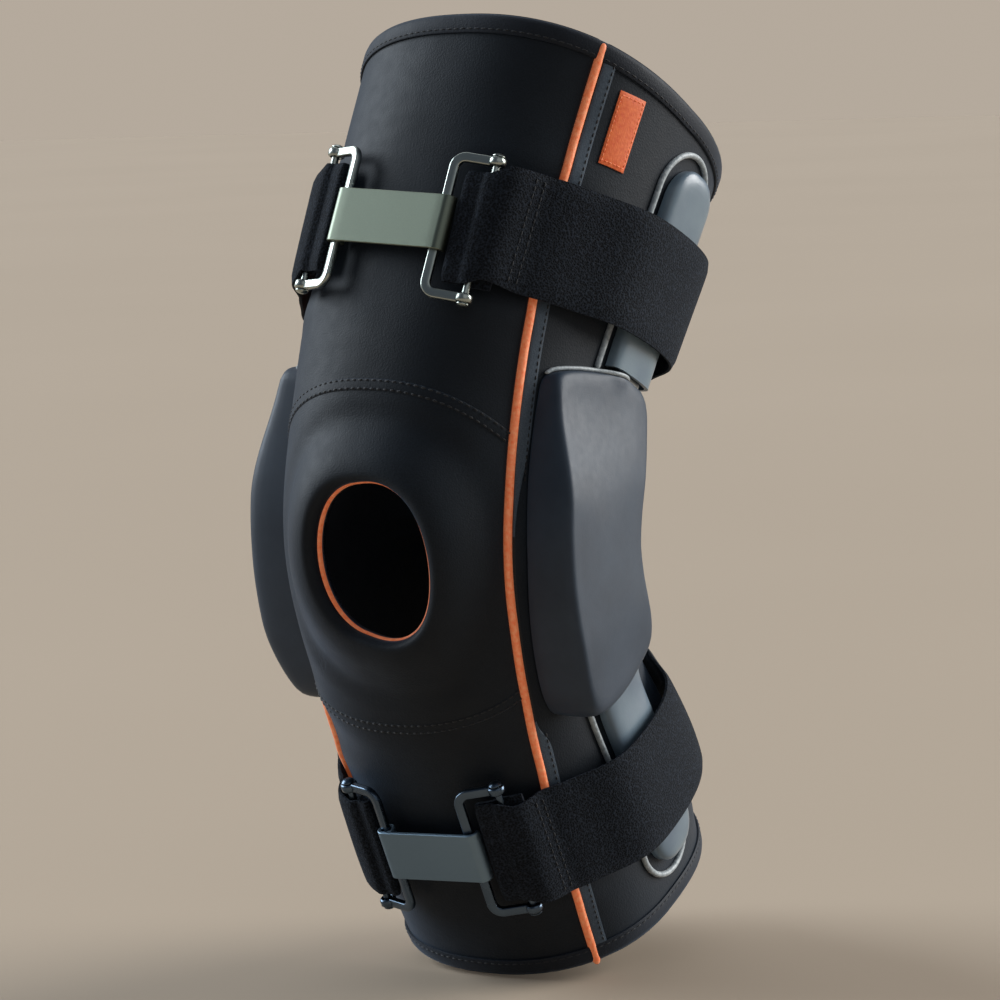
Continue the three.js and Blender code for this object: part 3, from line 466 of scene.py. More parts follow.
LOOKS = {
    "neoprene": neoprene("neoprene_jersey", "0b1016", "192129", 0.58),
    "lining": neoprene("lining_jersey", "24272b", "383c42", 0.8),
    "binding": neoprene("binding_tape", "10141a", "20262f", 0.6),
    "side_binding": neoprene("side_binding_tape", "303a44", "4d5965", 0.6),
    # Black thread: the stitches, and also the painted shade along each piping.
    "black_thread_and_shade": thread("black_thread_and_shade", "06070a", "14171c"),
    # The orange cord glows a little: painted light.
    "orange": cord_cover("orange_cord", "f07540", "ffac7e", 0.5, 0.4, 0.16),
    "label": cord_cover("orange_woven_label", "e05a20", "f57a3a", 0.5, 0.2),
    # Pale grey cord: the pocket piping, and also the painted highlight along the top of each cover.
    "grey_cord_and_highlight": cord_cover("grey_cord_and_highlight", "7e898f", "b4bdc1", 0.42, 0.15),
    "webbing": loop_webbing(),
    "cover": coated("coated_cover", "283442", "323f4e", 0.52, 0.04),
    "pocket": coated("coated_pocket", "5c6d7d", "72848f", 0.3, 0.4),
    "aluminium": metal("brushed_aluminium", "9aa0a5", "c9ced2", 0.33, 1, 0.06),
    "polished": metal("nickel_steel", "a3aaa4", "b1b8b0", 0.27, 25),
    "satin": metal("satin_nickel", "727a6d", "798173", 0.36, 0.4),
    "dark_satin": metal("satin_blued_steel", "768b9b", "7c91a1", 0.46, 0.4),
    "dark_steel": metal("blued_steel", "4c5967", "5b6a79", 0.27, 25),
    "plate": metal("zinc_steel", "70767b", "9aa0a5", 0.42, 1, 0.1),
    "foam": foam_look(),
}


# ---- Meshes ----
def outward(points, faces):
    """The faces of a body, turned if need be so that they enclose a positive volume."""
    total = 0.0
    for face in faces:
        corner = points[face[0]]
        for b, c in zip(face[1:-1], face[2:]):
            total += float(np.dot(corner, np.cross(points[b], points[c])))
    return [f[::-1] for f in faces] if total < 0 else faces


def grid_faces(rows, columns, closed_rows=False, closed_columns=False):
    """Quads of a grid whose point (i, j) is number i * columns + j."""
    faces = []
    for i in range(rows if closed_rows else rows - 1):
        for j in range(columns if closed_columns else columns - 1):
            a, b = i * columns + j, i * columns + (j + 1) % columns
            step = ((i + 1) % rows - i) * columns
            faces.append((a, b, b + step, a + step))
    return faces


def tube(loops, ring=False):
    """A closed body through loops of points; its ends are flat unless the loops close in a ring."""
    loops = np.asarray(loops, float)
    rows, columns = loops.shape[:2]
    points = loops.reshape(-1, 3)
    faces = grid_faces(rows, columns, ring, True)
    if not ring:
        faces.append(tuple(range(columns))[::-1])
        faces.append(tuple(range((rows - 1) * columns, rows * columns)))
    return points, outward(points, faces)


CAP_TURNS = np.radians([22, 45, 66, 84])


def rounded(loops):
    """Adds shrinking loops beyond both ends of a tube, so that it closes in domes."""
    caps = []
    for end, inner in ((0, 1), (-1, -2)):
        middle = loops[end].mean(0)
        spokes = loops[end] - middle
        beyond = unit(middle - loops[inner].mean(0)) * np.linalg.norm(spokes, axis=1).max()
        caps.append([middle + spokes * math.cos(a) + beyond * math.sin(a) for a in CAP_TURNS])
    return caps[0][::-1] + list(loops) + caps[1]


def cord_loops(path, across, normal, radius, sides):
    """Round loops about a path."""
    turn = np.radians(np.arange(0, 360, 360 / sides))[:, None]
    return path[:, None] + radius * (np.cos(turn) * across[:, None] + np.sin(turn) * normal[:, None])


def turned(profile, step):
    """A ring of loops: a profile of (radius, height), turned about the Z axis."""
    angles = np.radians(np.arange(0, 360, step))
    return [[(r * math.cos(a), r * math.sin(a), z) for r, z in profile] for a in angles]


def thickened(outer, inner, faces):
    """A closed body between two surfaces with the same faces: both, and walls along their open edges."""
    used = sorted({v for face in faces for v in face})
    number = {v: i for i, v in enumerate(used)}
    count = len(used)
    points = np.concatenate([outer[used], inner[used]])
    above = [tuple(number[v] for v in face) for face in faces]
    edges = dict.fromkeys((a, b) for face in above for a, b in zip(face, face[1:] + face[:1]))
    walls = [(b, a, a + count, b + count) for a, b in edges if (b, a) not in edges]
    below = [tuple(v + count for v in face[::-1]) for face in above]
    return points, above + below + walls, np.array(used)


def grid_shell(outer, inner):
    """A closed body between two grids of points."""
    faces = grid_faces(*outer.shape[:2])
    points, body, _ = thickened(outer.reshape(-1, 3), inner.reshape(-1, 3), faces)
    return points, outward(points, body)


def surface_normals(points, faces):
    mesh = bpy.data.meshes.new("scratch")
    mesh.from_pydata(points.tolist(), [], [list(map(int, f)) for f in faces])
    normals = np.empty(len(points) * 3)
    mesh.vertices.foreach_get("normal", normals)
    bpy.data.meshes.remove(mesh)
    return normals.reshape(-1, 3)


def bend(piece, level):
    """Bakes the piece's placement into its mesh, on either side of the knee."""
    if level == "upper":
        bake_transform(piece)
    else:
        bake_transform(piece)


def link_object(name, data):
    thing = bpy.data.objects.new(name, data)
    bpy.context.collection.objects.link(thing)
    return thing


def make_piece(
    name, shape, look, replaced=(), body=None, level=None, slot=None, crease=None, normals=None
):
    """A smooth shaded piece that rides on a body, or is baked in place on one side of the knee. Edges
    sharper than
    `crease` degrees are kept."""
    points, faces = shape
    mesh = bpy.data.meshes.new(name)
    mesh.from_pydata((np.asarray(points) * MM).tolist(), [], [list(map(int, f)) for f in faces])
    mesh.polygons.foreach_set("use_smooth", [True] * len(mesh.polygons))
    mesh.materials.append(LOOKS[look])
    if normals is not None:
        mesh.normals_split_custom_set_from_vertices(normals.reshape(-1, 3).tolist())
    elif crease is not None:
        mesh.set_sharp_from_angle(angle=math.radians(crease))
    mesh.update()
    piece = link_object(name, mesh)
    if replaced:
        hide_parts(*replaced)
    if body:
        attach(piece, body)
    else:
        bend(piece, level)
    return piece


def split_tube(name, loops, heights, look, replaced):
    """A tube that crosses s = 0 as two halves, shaded as one. heights is each loop's s, rising."""
    points, faces = tube(rounded(loops))
    normals = surface_normals(points, faces).reshape(-1, len(loops[0]), 3)
    points = points.reshape(normals.shape)
    cut = len(CAP_TURNS) + int(np.argmin(np.abs(heights)))
    for level, kept in (("upper", slice(cut, None)), ("lower", slice(0, cut + 1))):
        half = tube(points[kept])
        make_piece(f"{name}_{level}", half, look, replaced, level=level, normals=normals[kept])


def split_shell(name, outer, inner, faces, heights, look, replaced):
    """A shell that crosses s = 0 as two halves, shaded as one, by level, with their outer faces."""
    outer_normals, inner_normals = surface_normals(outer, faces), -surface_normals(inner, faces)
    halves = {}
    for level, sign in LEVELS.items():
        kept = [f for f in faces if sign * heights[list(f)].mean() > 0]
        points, body, used = thickened(outer, inner, kept)
        normals = np.concatenate([outer_normals[used], inner_normals[used]])
        piece = make_piece(
            f"{name}_{level}", (points, body), look, replaced[level], level=level, normals=normals
        )
        halves[level] = piece, kept
    return halves


# ---- Routes on the sleeve ----
def even_route(s, degrees, pitch):
    """The route again, with points `pitch` mm apart, as s and degrees."""
    run = run_along(cloth(s, degrees))
    count = max(int(round(run[-1] / pitch)), 1) + 1
    at = np.linspace(0, run[-1], count)
    return np.interp(at, run, s), np.interp(at, run, degrees)


def route_frame(s, degrees):
    """Points, directions along and across the route, and normals, of a route on the sleeve."""
    points = cloth(s, degrees)
    along = unit(np.gradient(points, axis=0))
    normal = cloth_normal(s, degrees)
    return points, along, unit(np.cross(along, normal)), normal


def bead(s, degrees, profile, wide=1.0):
    """Loops of a section, given as (across, out) in mm, along a route on the sleeve."""
    points, _, across, normal = route_frame(s, degrees)
    widths, heights = np.array(profile, float).T
    widths = (widths * np.reshape(wide, (-1, 1)))[..., None]
    return points[:, None] + across[:, None] * widths + normal[:, None] * heights[:, None]


def round_profile(half_width, low, high):
    """A section with a flat foot and a round back."""
    arc = np.linspace(0, math.pi, 14)
    top = [(half_width * math.cos(a), low + (high - low) * math.sin(a) ** 0.8) for a in arc]
    return top + [(-half_width * 0.5, low - 0.3), (half_width * 0.5, low - 0.3)]


def band_profile(half_width, low, high, edge):
    """A flat tape's section with eased edges."""
    right = [(half_width, low), (half_width, high - edge), (half_width - edge, high)]
    right.append((half_width * 0.5, high + 0.05))
    return right + [(0, high + 0.08)] + [(-across, out) for across, out in right[::-1]] + [(0, low)]


STITCH_RINGS = [(-0.5, 0.25), (-0.36, 0.8), (0, 1.0), (0.36, 0.8), (0.5, 0.25)]  # along, thickness


def stitches(name, points, along, across, normal, length, radius, look="black_thread_and_shade", **carrier):
    """One slim rounded stitch at each point."""
    sides = np.radians(np.arange(0, 360, 60))
    shape = np.array([(k, w * math.cos(a), w * math.sin(a)) for k, w in STITCH_RINGS for a in sides])
    local = shape[:, :1] * length * along[:, None] + shape[:, 1:2] * radius * across[:, None]
    local = points[:, None] + local + shape[:, 2:] * radius * normal[:, None]
    one = tube(local[0].reshape(len(STITCH_RINGS), -1, 3))[1]
    faces = [tuple(v + len(shape) * i for v in face) for i in range(len(points)) for face in one]
    make_piece(name, (local.reshape(-1, 3), faces), look, slot="neoprene", **carrier)


def stitch_row(name, s, degrees, pitch, length, radius=0.3, offset=0.0, out=0.0, **carrier):
    """A row of stitches, `offset` mm across from the route and `out` mm off the sleeve."""
    points, along, across, normal = route_frame(*even_route(s, degrees, pitch))
    points = points + across * offset + normal * out
    stitches(name, points, along, across, normal, length, radius, **carrier)


# ---- The sleeve ----
def hem_edge(sign, degrees):
    """s of the top or the bottom edge at an angle."""
    middle, slant = EDGES[sign]
    return middle + slant * np.sin(np.radians(degrees))


def piping_angle(s, side=1, aside=0.0):
    """The piping's angle at height s, or `aside` mm to the outside of it."""
    turn = np.degrees(aside / FRONT_RADIUS)
    if side > 0:
        return PIPING["angle"] + PIPING["knee_shift"] * np.exp(-((s / PIPING["spread"]) ** 2)) + turn
    away = (s - INNER_PIPING["s"]) / INNER_PIPING["spread"]
    return INNER_PIPING["angle"] + INNER_PIPING["forward"] * np.exp(-(away**2)) - turn


def from_pipings(s, degrees):
    """Millimetres round the leg from each piping."""
    return [np.radians(degrees - piping_angle(s, side)) * FRONT_RADIUS for side in (1, -1)]


def groove(s, degrees):
    """A narrow trough in the sleeve along each piping."""
    return -GROOVE["depth"] * sum(bump(away / GROOVE["half_width"]) for away in from_pipings(s, degrees))


def in_painted_piping_shade(s, degrees):
    """Whether a face lies in the near black band along each piping, painted shade beside the cord, by its
    corners' places.
    """
    middle = degrees[0] + np.mean((degrees - degrees[0] + 180) % 360 - 180)
    return min(abs(away) for away in from_pipings(s.mean(), middle)) < CORD["seam"]


def column_angles():
    """Angles of the sleeve's columns away from the knee: even, and close together at both pipings."""
    columns = OPENING["angle"] + COLUMN * np.arange(-72, 72)
    close = np.array([-3.0, -2.1, -1.5, -0.9, 0.0, 0.9, 1.5, 2.1, 3.0])
    for middle in (PIPING["angle"], INNER_PIPING["angle"]):
        columns = columns[np.abs(columns - middle) > 3.6]
        columns = np.concatenate([columns, middle + close])
    return np.sort(columns)


def warped(columns, s):
    """The columns' angles at height s, so that some of them follow the pipings."""
    shift = 0.0
    for side, home in ((1, PIPING["angle"]), (-1, INNER_PIPING["angle"])):
        shift = shift + bump((columns - home) / 36) * (piping_angle(s, side) - home)
    return columns + shift


def row_heights(rows, degrees):
    """s of each row at an angle: level near the knee, meeting the slanting hems at the ends."""
    heights = rows
    for sign, (end, _) in EDGES.items():
        start = sign * SLEEVE["level"]
        slanted = start + (rows - start) * (hem_edge(sign, degrees) - start) / (end - start)
        heights = np.where(sign * rows > SLEEVE["level"], slanted, heights)
    return heights


def opening_hits(s, degrees):
    """Where straight lines to the opening's middle, at s = 0, cross its edge."""
    u0, v0 = knee_place(0.0, OPENING["angle"])
    u1, v1 = knee_place(s, degrees)
    a, b = OPENING["half_width"], OPENING["half_height"]
    du, dv = (u1 - u0) / a, (v1 - v0) / b
    u, v = u0 / a, v0 / b
    qa, qb, qc = du**2 + dv**2, 2 * (u * du + v * dv), u**2 + v**2 - 1
    t = (-qb + np.sqrt(qb**2 - 4 * qa * qc)) / (2 * qa)
    return s * t, OPENING["angle"] + (degrees - OPENING["angle"]) * t


def sleeve_grid():
    """(s, degrees, faces, opening's edge) of the sleeve, with a fan of rings round the opening."""
    columns = column_angles()
    rows = np.unique(np.concatenate([np.arange(-174, 188, ROW), [-176, 187, 188]]))[:, None]
    grid_a = warped(columns, row_heights(rows, columns))
    s, degrees = row_heights(rows, grid_a).ravel(), grid_a.ravel()
    inside = np.where(np.abs(rows) <= FAN["rows"])[0]
    bottom, top = inside[0], inside[-1]
    reach = (-FAN["angle"], FAN["angle"])
    left, right = (int(np.argmin(np.abs(columns - (OPENING["angle"] + turn)))) for turn in reach)
    count = len(columns)
    faces = []
    for face in grid_faces(len(rows), count, False, True):
        i, j = divmod(face[0], count)
        if not (bottom <= i < top and left <= j < right):
            faces.append(face)
    rim = [(bottom, j) for j in range(left, right)] + [(i, right) for i in range(bottom, top)]
    rim += [(top, j) for j in range(right, left, -1)] + [(i, left) for i in range(top, bottom, -1)]
    rim = [i * count + j for i, j in rim]
    edge_s, edge_a = opening_hits(s[rim], degrees[rim])
    shares = np.array(FAN["shares"])[:, None] / 1000
    ring_s = edge_s + (s[rim] - edge_s) * shares
    ring_a = edge_a + (degrees[rim] - edge_a) * shares
    around = len(rim)
    rings = [[len(s) + k * around + j for j in range(around)] for k in range(len(shares))] + [rim]
    for near, far in zip(rings, rings[1:]):
        for j in range(around):
            n = (j + 1) % around
            faces.append((near[j], far[j], far[n], near[n]))
    return np.append(s, ring_s), np.append(degrees, ring_a), faces, (edge_s, edge_a)


def rim_roll(away):
    """The outer surface rounds over towards the opening's edge."""
    radius = SLEEVE["rim"]
    inside = radius - np.minimum(np.maximum(away, 0), radius)
    return np.sqrt(radius**2 - inside**2) - radius


def make_sleeve():
    s, degrees, faces, edge = sleeve_grid()
    out = relief(s, degrees) + groove(s, degrees) + rim_roll(beyond_opening(s, degrees))
    outer = skin(s, degrees, out)
    inner = skin(s, degrees, 0.4 * folds(s, degrees) - SLEEVE["thickness"])
    replaced = {
        level: (f"{limb}_front_panel", f"{limb}_back_panel", "knee_sleeve", "patella_buttress")
        for level, limb in LIMBS.items()
    }
    halves = split_shell("sleeve", outer, inner, faces, s, "neoprene", replaced)
    for level, (piece, kept) in halves.items():
        piece.data.materials.append(LOOKS["lining"])
        piece.data.materials.append(LOOKS["black_thread_and_shade"])
        numbers = np.zeros(len(piece.data.polygons), int)
        # Faces along each piping take the near black thread colour: painted shade beside the cord.
        numbers[: len(kept)][[in_painted_piping_shade(s[list(f)], degrees[list(f)]) for f in kept]] = 2
        numbers[len(kept) : 2 * len(kept)] = 1
        piece.data.polygons.foreach_set("material_index", numbers.tolist())
    make_opening_edge(*edge)


EDGE_SECTION = [  # wider than the opening, and out
    *[(0.5, -2.2), (0.5, -0.4), (0.2, 0), (-0.2, 0)],
    *[(-0.5, -0.35), (-0.6, -1), (-0.55, -1.8), (-0.1, -2.3)],
]


def make_opening_edge(s, degrees):
    """The thin orange edge inside the kneecap opening."""
    u0, v0 = knee_place(0.0, OPENING["angle"])
    u, v = knee_place(s, degrees)
    reach = np.hypot(u - u0, v - v0)
    loops = []
    for wider, out in EDGE_SECTION:
        share = (reach + wider) / reach
        loops.append(skin(s * share, OPENING["angle"] + (degrees - OPENING["angle"]) * share, out))
    loops = np.array(loops).transpose(1, 0, 2)
    normals = surface_normals(*tube(loops, ring=True)).reshape(loops.shape)
    for level, sign in LEVELS.items():
        kept = [j for j in range(len(s)) if sign * s[j] > -1e-6]
        breaks = [k for k in range(1, len(kept)) if kept[k] != kept[k - 1] + 1]
        kept = kept[breaks[0] :] + kept[: breaks[0]] if breaks else kept
        half, replaced = tube(loops[kept]), ["patella_edge_lining"]
        make_piece(f"kneecap_edge_{level}", half, "orange", replaced, level=level, normals=normals[kept])


HEM_SECTION = [  # along and out, round the folded tape: outside, over the edge and back inside
    *[(-8, 0.2), (-8, 0.8), (-7.4, 1.05), (-5, 1.2), (-2.4, 1.15), (-1, 0.8), (-0.2, 0)],
    *[(0.3, -1), (0.45, -2), (0.3, -3), (-0.2, -4), (-1, -4.8), (-3, -5.1), (-7.4, -5.05), (-8, -4.3)],
    *[(-7, -4.15), (-1.6, -4.1), (-0.8, -3.2), (-0.65, -2), (-0.8, -0.8), (-1.6, 0.1), (-7, 0.15)],
]


def make_hems():
    angles, full = np.arange(-180, 180, 2.5), np.arange(-180, 181, 1.0)
    hems = {"top_hem": ("upper", (0.46, 0.020)), "bottom_hem": ("lower", (0.40, 0.020))}
    for name, (level, flat) in hems.items():
        sign, body = LEVELS[level], LIMBS[level]
        s = hem_edge(sign, angles)
        loops = np.array([cloth(s + sign * along, angles, out) for along, out in HEM_SECTION])
        shape = tube(loops.transpose(1, 0, 2), ring=True)
        piece = make_piece(f"{name}_tape", shape, "binding", [name], body=body, crease=60)
        s = hem_edge(sign, full) - sign * 6.6
        stitch_row(f"{name}_stitches", s, full, 3.2, 2.3, out=1.1, body=body)


def make_pipings():
    """The outer piping runs from hem to hem; the inner one goes under the hinge cover at the knee."""
    section = round_profile(CORD["half_width"], CORD["low"], CORD["high"])
    for name, side in SIDES.items():
        low, high = (hem_edge(sign, piping_angle(0, side)) - sign * HEM_START for sign in (-1, 1))
        if side > 0:
            rows = np.concatenate([np.linspace(low, 0, 90)[:-1], np.linspace(0, high, 90)])
            loops = bead(rows, piping_angle(rows, side), section)
            replaced = [f"{name}_{part}_piping" for part in ("thigh", "knee", "calf")]
            split_tube(f"{name}_piping", loops, rows, "orange", replaced)
        else:
            gap = INNER_PIPING["ends"]
            for level, span in (("lower", (low, gap[0])), ("upper", (gap[1], high))):
                rows = np.linspace(*span, 70)
                shape = tube(rounded(bead(rows, piping_angle(rows, side), section)))
                replaced = [f"{name}_{LIMBS[level]}_piping"]
                make_piece(f"{name}_piping_{level}", shape, "orange", replaced, level=level)
        make_side_binding(name, side, (low, high))


def make_side_binding(name, side, hem):
    """The pale tape sewn beside each piping, tapering away where the hinge cover starts."""
    starts = {1: (-58.0, 8.0), -1: (-64.0, 76.0)}[side]
    for level, low, high in (("upper", starts[1], hem[1] - 3), ("lower", hem[0] + 3, starts[0])):
        rows = np.linspace(low, high, 60)
        taper = smooth(rows, low, low + 34) if level == "upper" else smooth(rows, high, high - 14)
        half = TAPE["narrow"] + TAPE["wide"] * taper
        middle = piping_angle(rows, side, TAPE["aside"] + half)
        shape = tube(bead(rows, middle, band_profile(1.0, -0.2, 0.75, 0.2), half))
        make_piece(f"{name}_tape_{level}", shape, "side_binding", level=level, crease=50)
        rows = rows[half > 1.6]
        far_edge = TAPE["aside"] + 2 * (TAPE["narrow"] + TAPE["wide"])
        row = piping_angle(rows, side, far_edge - TAPE["row_inset"])
        stitch_row(f"{name}_tape_stitches_{level}", rows, row, 2.8, 1.8, 0.38, out=0.75, level=level)


def make_seams():
    """Flatlock seams that cross the front above and below the kneecap, each with two rows of stitches."""
    front = np.linspace(-149, -38, 180)
    bow = ((front + 92) / 50) ** 2
    for level, s, high in (("upper", 52 - 10.5 * bow, 0.3), ("lower", 6 * bow - 52, 0.12)):
        kept = (front > piping_angle(s, -1) + 1.8) & (front < piping_angle(s, 1) - 1.8)
        route = s[kept], front[kept]
        shape = tube(bead(*route, band_profile(2.4, -0.4, high, 0.25)))
        make_piece(f"{level}_seam_tape", shape, "neoprene", level=level, crease=60)
        for row, offset in (("a", -1.7), ("b", 1.7)):
            name = f"{level}_seam_stitches_{row}"
            stitch_row(name, *route, 3.1, 2.0, 0.5, offset, high - 0.1, level=level)


def make_label():
    """A small blank woven label with a stitched edge."""
    v, u = np.meshgrid(np.linspace(-1, 1, 33), np.linspace(-1, 1, 17), indexing="ij")
    high = 0.55 + 0.35 * (1 - np.clip(np.abs(u) ** 10 + np.abs(v) ** 10, 0, 1))

    def on_sleeve(u, v):
        return LABEL["s"] + LABEL["half_length"] * v, LABEL["angle"] + LABEL["half_angle"] * u

    shape = grid_shell(cloth(*on_sleeve(u, v), high), cloth(*on_sleeve(u, v), 0.1))
    piece = make_piece("label_patch_blank", shape, "label", ["label_patch"], body="thigh", crease=50)
    k = LABEL["border"]
    border = [(-k, -k), (k, -k), (k, k), (-k, k), (-k, -k)]
    path = np.concatenate([np.linspace(a, b, 20) for a, b in zip(border, border[1:])])
    s, angle = on_sleeve(path[:, 0], 1.04 * path[:, 1])
    stitch_row("label_stitches", s, angle, 2.0, 1.4, 0.22, out=0.85, look="orange", body="thigh")


# ---- The hinges ----
def limb_point(half, along, back, x):
    """A point in the plane of an arm: up the limb, towards the back, and x from the middle of the leg."""
    along, back, x = np.broadcast_arrays(*(np.asarray(v, float) for v in (along, back, x)))
    y = along * math.sin(LEAN) + back * math.cos(LEAN)
    z = half * (PIN_RISE + along * math.cos(LEAN) - back * math.sin(LEAN))
    return np.stack([x, y, z], -1)


def arm_face(side, half, along):
    """The distance of an arm's inner face from the middle of the leg."""
    beside = side_x(side, half * (13.4 + 1.04 * along), np.zeros_like(along)) + ARM_SKIN_GAP
    share = smooth(along, 20, 58)
    return ARM_X[0] * (1 - share) + beside * share


def eased(corners):
    """A smooth line through a polygon's corners, cut again and again; its ends stay."""
    line = np.array(corners, float)
    for _ in range(4):
        first, second = line[:-1] * 0.75 + line[1:] * 0.25, line[:-1] * 0.25 + line[1:] * 0.75
        line = np.concatenate([line[:1], np.stack([first, second], 1).reshape(-1, 2), line[-1:]])
    return line


def evenly(line, count):
    """count points, evenly spaced along a line, without its last point."""
    run = run_along(line)
    at = np.linspace(0, run[-1], count + 1)[:-1]
    return np.stack([np.interp(at, run, line[:, k]) for k in (0, 1)], -1)


def cover_outline():
    """s and n round the cover's foot; the points 0 and COVER_COUNT / 2 are at s = 0."""
    return np.concatenate([evenly(eased(COVER_CORNERS[level]), COVER_COUNT // 2) for level in LEVELS])


def cover_foot(side, s, n):
    """The height of the cover's rim, raised in an arch where each arm comes out."""
    arch = bump(n / 14) * (smooth(s, 50, 66) + smooth(-s, 44, 56))
    return side_x(side, s, n) + 0.8 + 5.0 * arch


def cover_crown(side, s, n, scale):
    """The height of the cover's face: lower at the top towards the front, so that it wraps the thigh,
    and tapered at its lower end, most on the inner side."""
    front = smooth(-n, -14, 36)
    height = COVER_TOP - 9.5 * smooth(s, 16, 62) * front - 3.5 * smooth(s, 30, 72) * (1 - front)
    height = height - (2.0 if side > 0 else 6.5) * smooth(-s, 26, 62)
    return height + 0.5 * np.maximum(1 - (scale / 0.8) ** 2, 0)


def cover_surface(side, shrink, drop):
    """A face of the cover, as rings of points from its foot to its crown, and its middle point."""
    outline = cover_outline() - (0, COVER_MIDDLE)
    rings = []
    for scale, rise in COVER_LEVELS:
        wide = scale * (shrink if scale > 0.5 else 1.0)
        s, n = outline[:, 0] * wide, outline[:, 1] * wide + COVER_MIDDLE
        foot = cover_foot(side, s, n)
        top = np.maximum(cover_crown(side, s, n, scale) - drop, foot + 1.4 - 0.5 * drop)
        rings.append(beside_spine(s, n, side * (foot + (top - foot) * rise)))
    return np.vstack(rings + [rings[-1].mean(0)])


def make_cover(name, side):
    """The shell over a hinge: an upright wall with a rounded crest round a gently crowned face."""
    outer, inner = cover_surface(side, 1.0, 0.0), cover_surface(side, 0.95, COVER_WALL)
    faces = grid_faces(len(COVER_LEVELS), COVER_COUNT, False, True)
    centre = len(outer) - 1
    last = list(range(centre - COVER_COUNT, centre))
    faces += [(a, b, centre) for a, b in zip(last, last[1:] + last[:1])]
    heights = np.append([cover_outline()[:, 0] * scale for scale, _ in COVER_LEVELS], 0.0)
    replaced = dict.fromkeys(LEVELS, [f"{name}_hinge_cover"])
    split_shell(f"{name}_cover", outer, inner, outward(outer, faces), heights, "cover", replaced)
    # The pale bead along the cover's top is a painted highlight.
    make_cover_highlight_bead(name, side)


def make_cover_highlight_bead(name, side):
    """A thin pale grey bead along the top of the cover: a painted highlight where its rim catches the
    light.
    """
    outline = cover_outline()[: COVER_COUNT // 2]
    s, n = outline[outline[:, 0] > 63].T
    path = beside_spine(s + 1.2, n, side * (cover_foot(side, s, n) + 0.6))
    outwards = np.tile([float(side), 0, 0], (len(path), 1))
    across = unit(np.cross(unit(np.gradient(path, axis=0)), outwards))
    shape = tube(rounded(cord_loops(path, across, outwards, 0.85, 10)))
    make_piece(f"{name}_cover_painted_highlight", shape, "grey_cord_and_highlight", level="upper")


def gear_outline(half):
    """The toothed head of an arm, in (along, back), with a round lug below the teeth."""
    base, root = PIN_RISE * math.cos(GEAR["pressure"]), PIN_RISE - GEAR["root"]
    pitch, module = 2 * math.pi / GEAR["teeth"], 2 * PIN_RISE / GEAR["teeth"]
    half_tooth = (math.pi * module / 2 - GEAR["backlash"]) / 2 / PIN_RISE

    def involute(cosine):
        return math.tan(math.acos(cosine)) - math.acos(cosine)

    def half_angle(radius):
        return half_tooth + involute(math.cos(GEAR["pressure"])) - involute(min(1, base / radius))

    phase = 0 if half > 0 else 0.5
    centres = [(k - GEAR["teeth"] / 2 + phase) * pitch for k in range(GEAR["teeth"])]
    centres = [c for c in centres if math.radians(-36) < c < math.radians(96)]
    polar = [(root, math.radians(-56))]
    flank = [base, PIN_RISE - 0.3, PIN_RISE + 0.5, PIN_RISE + 1.3]
    for centre in centres:
        polar += [(root, centre - pitch / 2), (root, centre - half_angle(base))]
        polar += [(r, centre - half_angle(r)) for r in flank]
        polar += [(r, centre + half_angle(r)) for r in flank[::-1]]
        polar += [(root, centre + half_angle(base))]
    low, high = centres[-1] + pitch / 2, math.radians(-100) + 2 * math.pi
    polar += [(root - 1, low + (high - low) * k / 7) for k in range(8)]
    polar += [(GEAR["lug"], math.radians(-100 + 11 * k)) for k in range(5)]
    return [(-r * math.cos(a), r * math.sin(a)) for r, a in polar]


def bar_outline(start, end, half_width, corner):
    """A bar's outline in (along, back), with round corners."""
    a, b, c = start + corner, end - corner, half_width - corner
    points = []
    for turn, (x, y) in enumerate([(b, c), (a, c), (a, -c), (b, -c)]):
        for t in np.radians(np.arange(0, 91, 7.5)) + turn * math.pi / 2:
            points.append((x + corner * math.cos(t), y + corner * math.sin(t)))
    return points


def extruded(outline, low, high):
    """A bmesh of an outline in X and Y, extruded along Z."""
    mesh = bmesh.new()
    face = mesh.faces.new([mesh.verts.new((a, b, low)) for a, b in outline])
    result = bmesh.ops.extrude_face_region(mesh, geom=[face])
    lifted = [v for v in result["geom"] if isinstance(v, bmesh.types.BMVert)]
    bmesh.ops.translate(mesh, verts=lifted, vec=(0, 0, high - low))
    bmesh.ops.recalc_face_normals(mesh, faces=mesh.faces)
    return mesh


def combined(first, second, operation):
    """A boolean of two bmeshes, as a bmesh."""
    objects = []
    for mesh in (first, second):
        data = bpy.data.meshes.new("scratch")
        mesh.to_mesh(data)
        mesh.free()
        objects.append(link_object("scratch", data))
    modifier = objects[0].modifiers.new("cut", "BOOLEAN")
    modifier.object, modifier.operation, modifier.solver = objects[1], operation, "EXACT"
    graph = bpy.context.evaluated_depsgraph_get()
    result = bmesh.new()
    result.from_mesh(objects[0].evaluated_get(graph).to_mesh())
    for piece in objects:
        bpy.data.objects.remove(piece)
    return result


